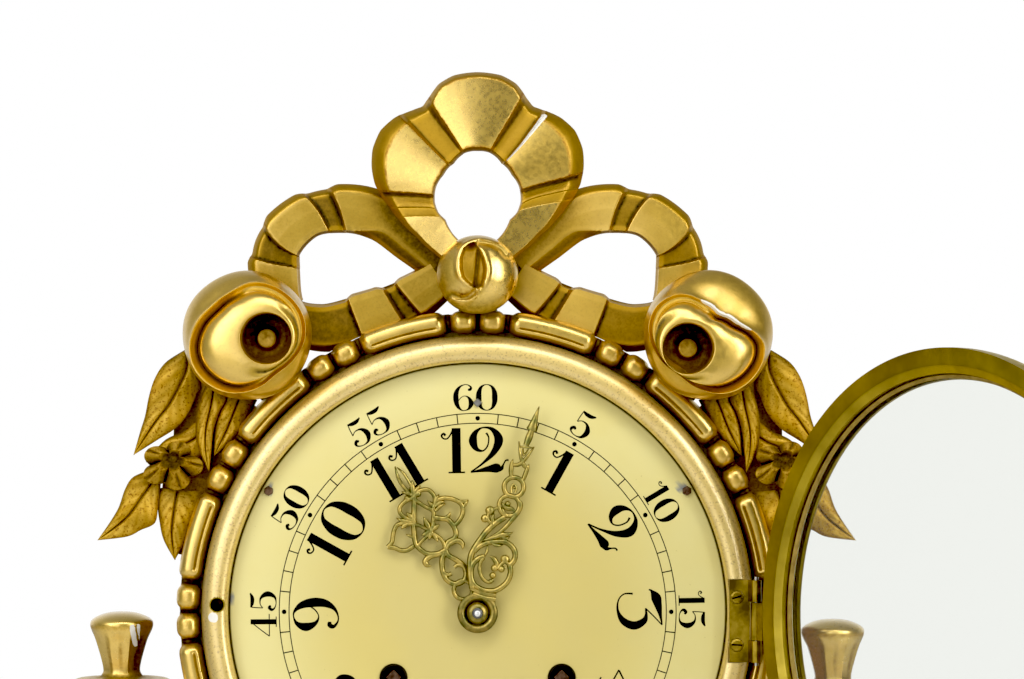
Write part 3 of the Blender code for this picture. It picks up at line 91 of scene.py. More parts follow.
class ClockFinish(bpy.types.PropertyGroup):
    """Colours and relief of the clock's surfaces."""
    gold: colour("Gold leaf", "Burnished and matt gold leaf", "#F0CC60")
    old_gold: colour("Worn gold", "Gold leaf rubbed thin", "#B58C2A")
    # This red paints red clay where the leaf is rubbed through, and in places red-brown painted shade.
    bole: colour("Bole", "Red clay under the leaf", "#6E2C14")
    # This brown paints dust in the hollows, and also painted shade in hollows, creases and undersides.
    dirt: colour("Dirt", "Old dust and wax in the hollows", "#261A04")
    gesso: colour("Gesso", "Chalk ground where the gilding is chipped", "#E9E6DC")
    paint: colour("Dial paint", "Cream paint of the dial", "#CBBB75")
    ink: colour("Ink", "Black of numerals and minute track", "#0B0B0A")
    brass: colour("Brass", "Aged brass of the bezel and hinge", "#BFA846")
    cast: colour("Hand brass", "Cast brass of the hands", "#C2AB62")
    steel: colour("Steel", "Arbors, pins and screws", "#B4B3B0")
    pine: colour("Pine", "Bare wood of the drum and backboard", "#B98F5A")
    carving: bpy.props.FloatProperty(name="Carving", description="Depth of leaf veins and petal grooves",
                                     default=1.0, min=0, max=2, subtype="FACTOR")
    fold: bpy.props.FloatProperty(name="Ribbon fold", description="Depth of the ribbon's pleats", default=3.4 * MM,
                                  min=0, max=5 * MM, unit="LENGTH", subtype="DISTANCE")


class ClockStage(bpy.types.PropertyGroup):
    """Light and camera."""
    key: bpy.props.FloatProperty(name="Key light", description="Soft box at the left", default=8, unit="POWER")
    front: bpy.props.FloatProperty(name="Front light", description="Soft box beside the camera", default=13.5,
                                   unit="POWER")
    fill: bpy.props.FloatProperty(name="Fill light", description="Soft box at the right", default=18, unit="POWER")
    top: bpy.props.FloatProperty(name="Top light", description="Soft box overhead", default=12.5, unit="POWER")
    room: bpy.props.FloatProperty(name="Room", description="Brightness of the room around the clock", default=0.4)
    wall: bpy.props.FloatProperty(name="Wall", description="Brightness of the white wall behind the clock",
                                  default=0.75)
    lens: bpy.props.FloatProperty(name="Lens", description="Focal length", default=140.6, unit="CAMERA")


# Geometry helpers


def place(x, f, z):
    """Millimetres to metres: x to the right, f off the wall, z up."""
    return np.stack(np.broadcast_arrays(np.asarray(x, float), -np.asarray(f, float), np.asarray(z, float)), -1) * MM


def seen(u, v, f):
    """The point at depth f that the camera sees at pixel (u, v): similar triangles from the eye."""
    scale = PIXEL * (EYE_DIST + BAND_F - f) / EYE_DIST
    return np.stack(np.broadcast_arrays(EYE_X + (np.asarray(u, float) - 512) * scale,
                                        EYE_Z + (339.5 - np.asarray(v, float)) * scale), -1)


def ease(x, a, b):
    """Smooth step from 0 at a to 1 at b."""
    t = np.clip((np.asarray(x, float) - a) / (b - a), 0, 1)
    return t * t * (3 - 2 * t)


def hump(x, wide):
    """A bell that is 1 where x is 0: e to the minus square of x over its width."""
    return np.exp(-(x / wide) ** 2)


def circle(count):
    """Equal angles once round, as a column."""
    return (np.arange(count) * tau / count)[:, None]


def ray(clock, start, end, count):
    """Points on a line from the dial's axis at a clock angle, from one radius to another."""
    return np.linspace(start, end, count)[:, None] * np.array([[sin(clock), cos(clock)]])


def flow(points, count, loop=False):
    """Smooth curve through points (Catmull-Rom): every stretch is the cubic whose end slopes follow its neighbours."""
    p = np.asarray(points, float)
    n = len(p)
    t = np.linspace(0, n if loop else n - 1, count, endpoint=not loop)
    i = np.minimum(t.astype(int), n - 1 if loop else n - 2)
    u = (t - i)[:, None]
    a, b, c, d = (p[(i + k) % n] if loop else p[np.clip(i + k, 0, n - 1)] for k in (-1, 0, 1, 2))
    return 0.5 * (2 * b + (c - a) * u + (2 * a - 5 * b + 4 * c - d) * u ** 2 + (3 * b - a - 3 * c + d) * u ** 3)


def soften(profile, times=2):
    """Corner cutting of a closed profile: every edge keeps its points at a quarter and three quarters."""
    p = np.asarray(profile, float)
    for _ in range(times):
        q = np.roll(p, -1, 0)
        p = np.stack([0.75 * p + 0.25 * q, 0.25 * p + 0.75 * q], 1).reshape(-1, 2)
    return p


def lathe(profile, steps, x=0.0, z=0.0):
    """Profile of (radius, f) points carried round an axis that stands out of the wall at (x, z)."""
    r, f = np.asarray(profile, float).T
    a = circle(steps)
    return place(x + r * np.sin(a), f + 0 * a, z + r * np.cos(a))


def upright(profile, steps, x, f):
    """Profile of (radius, z) points carried round an upright axis at (x, f)."""
    r, z = np.asarray(profile, float).T
    a = circle(steps)
    return place(x + r * np.sin(a), f + r * np.cos(a), z + 0 * a)


def sweep(path, section, half, f, rise):
    """Closed section (across, up) carried along a path in the plane of the dial, square to its run."""
    path = np.asarray(path, float)
    run = np.gradient(path, axis=0)
    run /= np.maximum(np.hypot(*run.T), 1e-9)[:, None]
    v, d = np.asarray(section, float).T
    half, f, rise = (np.broadcast_to(np.asarray(k, float), len(path))[:, None] for k in (half, f, rise))
    return place(path[:, :1] - run[:, 1:] * v * half, f + d * rise, path[:, 1:] + run[:, :1] * v * half)


def blur(a, reach, loop):
    """Mean of a grid over a square of neighbours, wrapping round or holding the edge."""
    for axis in (0, 1):
        pad = [(reach, reach) if k == axis else (0, 0) for k in range(a.ndim)]
        s = np.cumsum(np.pad(a, pad, mode="wrap" if loop[axis] else "edge"), axis=axis)
        n = a.shape[axis]
        s = np.concatenate([np.zeros_like(np.take(s, [0], axis)), s], axis)
        s = (np.take(s, np.arange(2 * reach + 1, 2 * reach + 1 + n), axis) - np.take(s, np.arange(n), axis))
        a = s / (2 * reach + 1)
    return a


def hollows(grid, reach, loop):
    """Depth in millimetres of each point under the mean of its neighbours, measured along the outward normal."""
    step = [(np.roll(grid, -1, k) - np.roll(grid, 1, k)) if loop[k] else np.gradient(grid, axis=k) for k in (0, 1)]
    n = np.cross(step[0], step[1])
    n /= np.maximum(np.linalg.norm(n, axis=-1, keepdims=True), 1e-15)
    front = np.unravel_index(np.argmin(grid[..., 1]), grid.shape[:2])
    return ((blur(grid, reach, loop) - grid) * n).sum(-1) * (-1 if n[front][1] > 0 else 1) / MM


def patch(grid, loop_u=False, loop_v=False, cap=False, **tones):
    """A grid with its seams and surface tones; cap draws its first and last lines together to close the ends."""
    tones = {k: np.broadcast_to(np.asarray(t, float), grid.shape[:2]) for k, t in tones.items()}
    if cap:
        ends = [np.broadcast_to(grid[k].mean(0), grid[k].shape)[None] for k in (0, -1)]
        grid = np.concatenate([ends[0], grid, ends[1]])
        tones = {k: np.pad(t, ((1, 1), (0, 0)), mode="edge") for k, t in tones.items()}
    return grid, loop_u, loop_v, tones


def peg(path, half, f, rise, grime=0.8):
    """A plain square tenon along a path, from depth f outwards."""
    return patch(sweep(path, [(-1, 0), (-1, 1), (1, 1), (1, 0)], half, f, rise), False, True, True, grime=grime)


def piece(name, patches, finish, body="case", nodes=(), sharp=42, sheet=None):
    """One mesh from grids: corner numbers row by row, doubles merged, faces turned outwards, tones as attributes."""
    points, faces, start = [], [], 0
    for grid, loop_u, loop_v, _ in patches:
        n, m = grid.shape[:2]
        i = np.arange(n if loop_u else n - 1)[:, None]
        j = np.arange(m if loop_v else m - 1)[None]
        k, l = (i + 1) % n, (j + 1) % m
        faces.append(np.stack([i * m + j, k * m + j, k * m + l, i * m + l], -1).reshape(-1, 4) + start)
        points.append(grid.reshape(-1, 3))
        start += n * m
    points, faces = np.concatenate(points), np.concatenate(faces)
    faces = faces[~np.isnan(points[faces]).any((1, 2))]
    mesh = bpy.data.meshes.new(name)
    mesh.from_pydata(np.nan_to_num(points).tolist(), [], faces.tolist())
    for tone in TONES:
        flat = [np.broadcast_to(t.get(tone, 0.0), g.shape[:2]).reshape(-1) for g, _, _, t in patches]
        mesh.attributes.new(tone, "FLOAT", "POINT").data.foreach_set("value", np.concatenate(flat))
    bm = bmesh.new()
    bm.from_mesh(mesh)
    bmesh.ops.remove_doubles(bm, verts=bm.verts, dist=2e-7)
    bmesh.ops.delete(bm, geom=[v for v in bm.verts if not v.link_faces], context="VERTS")
    bmesh.ops.recalc_face_normals(bm, faces=bm.faces)
    bm.to_mesh(mesh)
    bm.free()
    if not len(mesh.polygons):
        raise RuntimeError(name + " came out empty")
    mesh.polygons.foreach_set("use_smooth", np.ones(len(mesh.polygons), bool))
    mesh.set_sharp_from_angle(angle=radians(sharp))
    mesh.materials.append(finish)
    ob = bpy.data.objects.new(name, mesh)
    bpy.context.scene.collection.objects.link(ob)
    if sheet:
        wall = ob.modifiers.new("wall", "SOLIDIFY")
        wall.thickness, wall.offset = sheet * MM, -1
    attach(ob, body)
    if nodes:
        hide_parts(*nodes)
    return ob


# Materials

# Kinds of node: type, inputs in order, output, and what is set at the start; noise takes 1000 / lump size in mm
NODES = {
    "object": ("TexCoord", (), "Object", {}), "ray": ("TexCoord", (), "Generated", {}),
    "tone": ("Attribute", (), "Fac", {}),
    "noise": ("TexNoise", ("Vector", "Scale", "Detail", "Roughness"), 0, {"Detail": 3.0, "Roughness": 0.55}),
    "stretch": ("Mapping", ("Vector", "Scale"), 0, {}), "range": ("MapRange", (0, 1, 2, 3, 4), 0, {}),
    "mix": ("Mix", (0, 6, 7), 2, {"data_type": "RGBA"}), "between": ("Mix", (0, 2, 3), 0, {"data_type": "FLOAT"}),
    "times": ("Math", (0, 1), 0, {"operation": "MULTIPLY", "use_clamp": True}),
    "plus": ("Math", (0, 1), 0, {"operation": "ADD", "use_clamp": True}),
    "most": ("Math", (0, 1), 0, {"operation": "MAXIMUM"}),
    "bump": ("Bump", ("Strength", "Distance", "Height", "Normal"), 0, {}),
    "shader": ("BsdfPrincipled", (), 0, {}), "surface": ("OutputMaterial", (0,), None, {}),
    "camera_ray": ("LightPath", (), "Is Camera Ray", {}), "glass_ray": ("LightPath", (), "Is Transmission Ray", {}),
    "x": ("SeparateXYZ", (0,), "X", {}), "y": ("SeparateXYZ", (0,), "Y", {}), "z": ("SeparateXYZ", (0,), "Z", {}),
    "glow": ("Background", (0, 1), 0, {}), "either": ("MixShader", (0, 1, 2), 0, {}),
    "sky": ("OutputWorld", (0,), None, {}),
}


def add(tree, kind, *values, **named):
    """Adds one node of a kind in NODES and gives its output. Values fill its inputs in order; capitalised names are
    inputs too, other names are settings. A socket is linked, anything else is set as a constant."""
    label, order, out, preset = NODES[kind]
    node = tree.nodes.new("ShaderNode" + label)
    given = {**preset, **dict(zip(order, values)), **named}
    for key in [k for k in given if str(k).islower()]:
        setattr(node, key, given.pop(key))
    for key, value in given.items():
        socket = node.inputs[key.replace("_", " ") if isinstance(key, str) else key]
        if isinstance(value, bpy.types.NodeSocket):
            tree.links.new(value, socket)
        else:
            socket.default_value = value
    return None if out is None else node.outputs[out]


def blank(name):
    """An empty node material: the function that adds its nodes, and its Object coordinates."""
    if name in bpy.data.materials:
        bpy.data.materials.remove(bpy.data.materials[name])
    mat = bpy.data.materials.new(name)
    mat.use_nodes = True
    mat.node_tree.nodes.clear()
    node = partial(add, mat.node_tree)
    return node, node("object")


def gilding(name, gold, look, matt=0.46, burnish=0.27, rub=0.3, speckle=0.1, coat=1.0):
    """Water gilding: beaten leaf on red clay over chalk. Burnished fields mirror softly, matt ones glow, rubbed
    edges show the red clay, hollows hold brown dust, the brown and the red also paint shade, chips are white chalk, and
    a thin old size whitens the highlights."""
    node, at = blank(name)
    grime, shine, chalk, bole = (node("tone", attribute_name=k) for k in TONES)
    cloud, fine = node("noise", at, 1000 / 9, 4.0), node("noise", at, 1000 / 1.6, 4.0, 0.65)
    tint = node("mix", node("range", cloud, 0.35, 0.7, 0.0, rub), gold, look.old_gold)
    tint = node("mix", node("range", shine, 0.0, 0.8, 0.8, 0.0), tint, look.old_gold)
    specks = node("times", node("range", node("noise", at, 1000 / 0.8, 2.0), 0.56, 0.68), speckle)
    tint = node("mix", specks, tint, look.bole)
    # Red tone: red clay where the leaf is rubbed through, and in places red-brown painted shade.
    worn_and_shaded = node("times", bole, node("range", fine, 0.36, 0.62, 0.25, 1.0))
    tint = node("mix", worn_and_shaded, tint, look.bole)
    # Brown tone: dust in the hollows, and painted shade in hollows, creases, undersides and on sides turned from the
    # lamps.
    soil_and_shade = node("times", grime, node("range", fine, 0.2, 0.65, 0.65, 1.15))
    tint = node("mix", soil_and_shade, tint, look.dirt)
    chip = node("range", node("times", chalk, node("range", fine, 0.3, 0.6, 0.7, 1.2)), 0.42, 0.5)
    tint = node("mix", chip, tint, look.gesso)
    # Chipped, rubbed and dusty leaf, and leaf under painted shade, loses its metal and its size.
    bare_and_shaded = node("most", chip, node("times", node("most", soil_and_shade, worn_and_shaded), 0.75))
    size = node("times", node("range", shine, 0.1, 0.8, 0.1 * coat, coat), node("range", bare_and_shaded, 0, 0.3, 1.0, 0.0))
    gloss = node("plus", node("range", shine, 0, 1, matt, burnish), node("range", fine, 0.3, 0.7, -0.05, 0.09))
    lumps = node("bump", 0.12, 0.5 * MM, node("noise", at, 1000 / 5))
    grit = node("bump", 0.2, 0.08 * MM, fine, lumps)
    node("surface", node("shader", Base_Color=tint, Metallic=node("range", bare_and_shaded, 0, 1, 0.96, 0.0), Normal=grit,
                         Roughness=node("between", bare_and_shaded, gloss, 0.7), Coat_Weight=size, Coat_IOR=1.9,
                         Coat_Roughness=0.24))


def metal(name, base, dull, size, rough, stain=0.6, bumps=0.15, metallic=1.0):
    """Old metal: bright where it is handled, browned in clouds, with fine pits that break the highlight."""
    node, at = blank(name)
    cloud, fine = node("noise", at, 1000 / size, 4.0), node("noise", at, 5000 / size)
    tint = node("mix", node("range", cloud, 0.38, 0.66, 0.0, stain), base, dull)
    # Near-black brown by the first tone: patina and dust, and also painted shade, as on the hands' wire sides and down
    # the latch bush's bore.
    tint = node("mix", node("tone", attribute_name="grime"), tint, linear("#1B160B"))
    node("surface", node("shader", Base_Color=tint, Metallic=metallic, Normal=node("bump", bumps, 0.1 * MM, fine),
                         Roughness=node("range", fine, 0.3, 0.7, rough - 0.07, rough + 0.12)))


def dial_paint(look):
    """Oil paint on sheet metal, rubbed smooth: warm cream, a little paler to the rim, with dust specks, soft gloss."""
    node, at = blank("cream_oil_paint")
    tint = node("mix", node("tone", attribute_name="shine"), look.paint, linear("#DDD393"))
    tint = node("mix", node("range", node("noise", at, 1000 / 40), 0.35, 0.75, 0, 0.35), tint, linear("#D8C468"))
    tint = node("mix", node("range", node("noise", at, 1000 / 0.9, 2.0), 0.74, 0.8, 0, 0.5), tint, linear("#8E7A45"))
    tint = node("mix", node("tone", attribute_name="chalk"), tint, linear("#8D8F8C"))
    # Painted shadow: towards near-black brown at the rim, where the ring's gap shades it.
    tint = node("mix", node("tone", attribute_name="grime"), tint, linear("#2A2213"))
    node("surface", node("shader", Base_Color=tint, Normal=node("bump", 0.06, 0.2 * MM, node("noise", at, 1000 / 5)),
                         Roughness=node("range", node("noise", at, 1000 / 6), 0.3, 0.7, 0.34, 0.46)))


def ink_paint(look):
    """Black dial paint: dense, half matt, rubbed through to brown in specks."""
    node, at = blank("black_dial_ink")
    tint = node("mix", node("range", node("noise", at, 1000 / 1.2), 0.6, 0.75, 0, 0.35), look.ink, linear("#3A3224"))
    node("surface", node("shader", Base_Color=tint, Specular_IOR_Level=0.22,
                         Roughness=node("range", node("noise", at, 1000 / 2), 0.3, 0.7, 0.5, 0.65)))


def pane():
    """Old window glass: clear, faintly grey-green, with a breath of dust that dulls it in clouds."""
    node, at = blank("old_clock_glass")
    node("surface", node("shader", Base_Color=linear("#F4F6F1"), Transmission_Weight=1.0, IOR=1.5,
                         Roughness=node("range", node("noise", at, 1000 / 30), 0.3, 0.7, 0.0, 0.05)))


def bare_pine(name, look, run):
    """Sawn pine gone brown: grain lines about 3 mm apart along the board or front to back, darker late wood, raw open
    surface."""
    node, at = blank(name)
    lines = node("noise", node("stretch", at, run), 1000 / 3, 5.0, 0.6)
    tint = node("mix", node("range", lines, 0.36, 0.64), look.pine, linear("#6B4A27"))
    tint = node("mix", node("range", node("noise", at, 1000 / 35), 0.35, 0.7, 0, 0.5), tint, linear("#4A351F"))
    node("surface", node("shader", Base_Color=tint, Normal=node("bump", 0.3, 0.2 * MM, lines),
                         Roughness=node("range", lines, 0.3, 0.7, 0.62, 0.8)))


def finishes():
    """Every finish of the clock, made once and then shared."""
    look = bpy.context.scene.clock_finish
    if "water_gilding" not in bpy.data.materials:
        gilding("water_gilding", look.gold, look)
        gilding("matt_band_gilding", linear("#EFD586"), look, matt=0.55, burnish=0.46, rub=0.2, speckle=0.35)
        gilding("oil_gilding", look.gold, look, matt=0.62, burnish=0.5, rub=0.7, speckle=0.6, coat=0.1)
        # Name, bright colour, dull colour, then size of the stains, roughness, staining, pits and metallic
        for name, base, dull, *rest in (
                ("aged_brass_bezel", look.brass, "#93803A", 22.0, 0.38, 0.8),
                ("hinge_brass", linear("#B49A44"), "#5A4A20", 7.0, 0.42, 0.9, 0.3),
                ("cast_hand_brass", look.cast, "#6A7042", 3.0, 0.36, 0.85, 0.3),
                # Pale, half-metal steel for the arbor tip: a painted highlight.
                ("bright_steel", linear("#E6E6E4"), "#B9B7B0", 2.0, 0.3, 0.3, 0.1, 0.5),
                # Black paint of the eyelets, and the painted shade strips on the screw heads.
                ("blackened_brass", linear("#15130F"), "#2B241A", 3.0, 0.42, 0.5, 0.2, 0.6),
                ("clock_steel", look.steel, "#5E574B", 4.0, 0.34, 0.5),
                ("rusted_steel", linear("#7A6250"), "#3C2416", 1.5, 0.5, 0.9, 0.5, 0.7),
                ("plate_brass", linear("#B0924A"), "#7C6530", 14.0, 0.3, 0.6),
                ("glazing_putty", linear("#A58C48"), "#7A6430", 4.0, 0.75, 0.7, 0.5, 0.0)):
            metal(name, base, linear(dull), *rest)
        dial_paint(look)
        ink_paint(look)
        pane()
        bare_pine("aged_pine", look, (1.0, 1.0, 0.04))
        bare_pine("coopered_pine", look, (1.0, 0.05, 1.0))
    return bpy.data.materials


# Shapes: ring, beads and drum


def band_grid():
    """Front ring: a closed profile with a rounded band, turned round the dial's axis. Near the hinge its lines lie
    level and the band drops to the leaf's bed; at the latch it drops into the bush's bore."""
    arc = flow([(99.9, 84.0), (99.8, 88.6), (99.1, 91.0), (97.7, 92.7), (95.8, 93.7), (93.7, 94.0), (91.9, 93.6),
                (90.8, 92.6), (90.3, 91.0), (DIAL_R, 88.6)], 72)
    r, f = np.concatenate([[(LEDGE_R, RING_BACK_F), (DRUM_R, RING_BACK_F), (DRUM_R, 80.5), (99.9, 80.5)], arc,
                           [(DIAL_R, LEDGE_F), (LEDGE_R, LEDGE_F)]]).T
    bed = np.arccos(np.array([12.22, 12.18, -17.98, -18.02]) / 94)
    latch = np.arctan2(LATCH_X, LATCH_Z) % tau
    a = np.unique(np.concatenate([np.arange(480) * tau / 480, bed, latch + np.linspace(-0.034, 0.034, 27)]))[:, None]
    level = 1 - ease(np.abs(a - pi / 2), 0.19, 0.32)
    turn = level * np.arccos(np.clip(94 * np.cos(a) / r, -1, 1)) + (1 - level) * a
    x, z, f = r * np.sin(turn), r * np.cos(turn), f + 0 * turn
    f = np.where((x > 90.35) & (z > -18) & (z < 12.2), np.minimum(f, 92.4), f)
    f = np.where((np.hypot(x - LATCH_X, z - LATCH_Z) < 2.7) & (f > 88), f - 8, f)
    lip = ease(r, 98.2, 99.6) + ease(-f, -90.6, -88.5) * (r < 95)
    rust = np.exp(-((x - LATCH_X + 1.4) ** 2 + (z - LATCH_Z + 4.6) ** 2) / 3) * (r > 90)
    # Dust and painted shade: darker at the outer edge under the beads and down the inner edge to the dial, a painted
    # shadow line by the dial; fully darkened on the hidden ledge.
    return patch(place(x, f, z), True, True, grime=np.clip(lip, 0, 1) * 0.62 + (r < 90.1), chalk=rust * 1.3,
                 shine=0.9)


def bead_grid():
    """Bead and reel: a round-topped section whose width and height swell to a pair of cushions at every hour and a
    long reel between hours, with a line cut along each reel."""
    n = 2160
    a = circle(n)
    step = radians(30)
    hour = np.round(a / step)
    off = np.abs(a - hour * step)
    mid = 0.5 * (BEAD_IN + BEAD_OUT)
    beads = off < radians(5.55)
    end = np.where(beads, radians(2.72) - np.abs(off - radians(2.86)), radians(8.85) - np.abs(radians(15) - off)) * mid
    end = np.where(beads & (hour % 12 == 3), 0, end)
    swell = np.clip(np.maximum(end, 0) / 4.2, 0, 1)
    size = np.maximum(0.2, (1 - (1 - swell) ** 2.4) ** 0.5)
    phi = np.linspace(-0.62, pi + 0.62, 37)[None]
    across = -np.sign(np.cos(phi)) * np.abs(np.cos(phi)) ** 0.8
    up = np.clip((np.sin(phi) + sin(0.62)) / (1 + sin(0.62)), 0, 1) ** 0.9
    wide = 0.5 * (BEAD_OUT - BEAD_IN) * np.maximum(size, 0.74) * np.where(beads, 0.97 + 0.02 * np.cos(5 * hour), 1)
    tall = (BEAD_FRONT_F - BEAD_BACK_F) * (0.3 + 0.7 * size)
    line = hump(across + 0.34, 0.09) * ~beads * ease(end, 2.5, 5)
    f = BEAD_BACK_F + tall * up - 0.9 * line
    r = mid + across * wide
    ends = np.where(beads, 1 - ease(end, 0.0, 1.5), 1 - ease(end, 0.3, 3.0))
    # Dust and painted shade: darker at the narrow necks between beads and reels, at the moulding's foot and along the
    # cut line.
    dirt = np.clip(0.8 * ease(-size, -0.75, -0.25) + 0.8 * (1 - ease(up, 0.02, 0.3)) + 0.5 * line, 0, 1)
    return patch(place(r * np.sin(a), f, r * np.cos(a)), True, True, grime=dirt, shine=0.8 * (1 - dirt),
                 bole=0.75 * ends + 0.25 * beads + 0.4 * line)


# Shapes: dial, numerals and track


def dial_face(r):
    """Front of the dial: flat in the middle, then falling back with the 1.5 power of the way to its rim."""
    return DIAL_F - (DIAL_F - DIAL_RIM_F) * np.clip((r - DIAL_FLAT) / 19.7, 0, 1) ** 1.5


def dial_grid():
    """Painted plate: rings from the hand bore to the rim, close together about the winding holes left out."""
    r = np.concatenate([np.linspace(4.8, 32, 16), np.linspace(33, 44, 32), np.linspace(46, 70, 14),
                        np.linspace(71, 89.9, 30)])[None]
    well = np.arctan2(WIND_X, WIND_Z)
    holes = [(s * well + np.linspace(-0.14, 0.14, 36)) % tau for s in (1, -1)]
    a = np.unique(np.concatenate([np.arange(300) * tau / 300, *holes]))[:, None]
    x, z, f = r * np.sin(a), r * np.cos(a), dial_face(r) + 0 * a
    for cx in (WIND_X, -WIND_X):
        off = np.hypot(x - cx, z - WIND_Z)
        near = np.abs(off - 4.3) < 0.3
        x, z = np.where(near, cx + (x - cx) * 4.3 / off, x), np.where(near, WIND_Z + (z - WIND_Z) * 4.3 / off, z)
        f = np.where(off < 3.95, np.nan, f)
    spots = [(-90, 5, 2.2, 3.0), (74, 44.8, 2.6, 2.2), (-75.5, 43.9, 1.6, 2.4)]
    loss = sum(np.exp(-((x - px) / w) ** 2 - ((z - pz) / h) ** 2) for px, pz, w, h in spots)
    # Painted shadow: the outer rim darkens where the ring's gap shades it.
    edge = ease(r + 0 * a, 89.2, 89.8)
    return patch(place(x, f, z), True, grime=edge, shine=ease(r + 0 * a, 40, 88), chalk=ease(loss, 0.45, 0.6))


# The painted rings of figures sit a little anticlockwise of the minute track
HOUR_TURN, MINUTE_TURN = radians(0.9), radians(0.6)
NINE_TAIL = ((.13, .8, .07), (.2, .8, .1), (.23, .88, .08), (.14, .97, .04), (.02, .985, .035), (-.14, .9, .08),
             (-.25, .7, .16), (-.27, .45, .19), (-.22, .2, .14), (-.1, .04, .06), (.02, .015, .03), (.16, .09, .09),
             (.23, .28, .17), (.16, .48, .09), (.03, .56, .03), (-.1, .5, .03), (-.19, .38, .03))
# Fat-faced dial figures, drawn with the pen: x, y and pen width for a figure one unit tall; True closes a stroke
FIGURES = {
    "0": [(True, (0, .985, .03), (.17, .9, .09), (.25, .7, .17), (.265, .5, .2), (.25, .3, .17), (.17, .1, .09),
           (0, .015, .03), (-.17, .1, .09), (-.25, .3, .17), (-.265, .5, .2), (-.25, .7, .17), (-.17, .9, .09))],
    "1": [(False, (0, .03, .18), (0, .5, .18), (0, .985, .18)),
          (False, (-.17, .018, .036), (0, .018, .036), (.17, .018, .036)),
          (False, (-.06, .965, .04), (-.12, .84, .035), (-.19, .755, .032), (-.27, .765, .036), (-.3, .825, .045),
           (-.26, .865, .05), (-.22, .825, .055))],
    "2": [(False, (-.05, .87, .05), (.0, .76, .034), (-.03, .58, .034), (-.13, .48, .04), (-.26, .53, .1),
           (-.325, .7, .17), (-.27, .88, .1), (-.12, .985, .036), (.08, .94, .09), (.205, .72, .18), (.1, .45, .12),
           (-.14, .2, .05), (-.37, .03, .036)),
          (False, (-.38, .018, .03), (-.2, .05, .07), (0, .085, .13), (.15, .1, .19), (.25, .1, .1), (.29, .17, .04),
           (.34, .26, .035), (.4, .27, .045))],
    "3": [(False, (-.41, .71, .03), (-.38, .77, .06), (-.25, .86, .2), (-.1, .905, .16), (.1, .95, .08),
           (.32, .99, .025)),
          (False, (.32, .985, .028), (.15, .82, .028), (-.02, .64, .03)),
          (False, (-.03, .635, .03), (.115, .645, .07), (.24, .585, .13), (.325, .38, .17), (.23, .15, .14),
           (.02, .03, .06),
           (-.2, .046, .032), (-.325, .17, .032), (-.33, .36, .045))],
    "4": [(False, (.1, .98, .036), (-.14, .64, .036), (-.37, .29, .04)),
          (False, (-.38, .28, .036), (0, .28, .036), (.36, .28, .036)),
          (False, (.1, .03, .18), (.1, .5, .18), (.1, .985, .18)),
          (False, (-.07, .018, .036), (.1, .018, .036), (.27, .018, .036))],
    "5": [(False, (-.2, .97, .06), (-.05, .92, .13), (.12, .92, .13), (.27, .99, .05)),
          (False, (-.19, .96, .036), (-.21, .75, .036), (-.22, .52, .036)),
          (False, (-.22, .52, .036), (-.08, .62, .036), (.12, .58, .09), (.24, .34, .19), (.15, .08, .1),
           (-.04, .015, .035), (-.22, .07, .05), (-.28, .18, .1), (-.21, .27, .11), (-.14, .22, .07))],
    "6": [(False, *NINE_TAIL)],
    "7": [(False, (-.33, .72, .036), (-.27, .9, .06), (-.1, .9, .14), (.08, .86, .13), (.24, .9, .06),
           (.31, .985, .036)),
          (False, (.31, .985, .036), (.12, .68, .05), (0, .4, .12), (-.05, .2, .18), (-.05, .02, .2))],
    "8": [(True, (0, .985, .03), (.15, .9, .1), (.19, .77, .14), (.13, .62, .09), (0, .54, .03), (-.13, .62, .09),
           (-.19, .77, .14), (-.15, .9, .1)),
          (True, (0, .55, .03), (.18, .45, .11), (.25, .28, .18), (.17, .09, .1), (0, .015, .03), (-.17, .09, .1),
           (-.25, .28, .18), (-.18, .45, .11))],
    "9": [(False, *((-x, 1 - y, w) for x, y, w in NINE_TAIL))],
}


def inked(path, wide, loop=False):
    """A pen stroke on the dial: a thin lens across the path, lying on the dial's face."""
    run = np.roll(path, -1, 0) - np.roll(path, 1, 0) if loop else np.gradient(path, axis=0)
    run = run / np.maximum(np.hypot(*run.T), 1e-9)[:, None]
    v, d = np.array([(-1, -.05), (-.9, .06), (.9, .06), (1, -.05), (0, -.1)]).T
    x = path[:, :1] + run[:, 1:] * v * wide[:, None] / 2
    z = path[:, 1:] - run[:, :1] * v * wide[:, None] / 2
    return patch(place(x, dial_face(np.hypot(x, z)) + d, z), loop, True, cap=not loop)


def numeral(text, clock, foot, tall, stretch=1.0):
    """Figures side by side, centred on a clock angle, feet on the circle of radius `foot` and heads outwards."""
    edges = [[(x - w / 2, x + w / 2) for stroke in FIGURES[c] for x, _, w in stroke[1:]] for c in text]
    sides = [(min(a for a, _ in k), max(b for _, b in k)) for k in edges]
    total = sum(b - a for a, b in sides) + 0.07 * (len(text) - 1)
    at, out = -total / 2, []
    for c, (a, b) in zip(text, sides):
        for loop, *points in FIGURES[c]:
            x, y, w = flow(points, 10 * len(points), loop).T
            x, y = (x - a + at) * tall * stretch, foot + y * tall
            out.append(inked(np.stack([y * sin(clock) + x * cos(clock), y * cos(clock) - x * sin(clock)], -1),
                             np.maximum(w * (1 + ease(w, 0.05, 0.12) * 0.12), 0.024) * tall, loop))
        at += b - a + 0.07
    return out


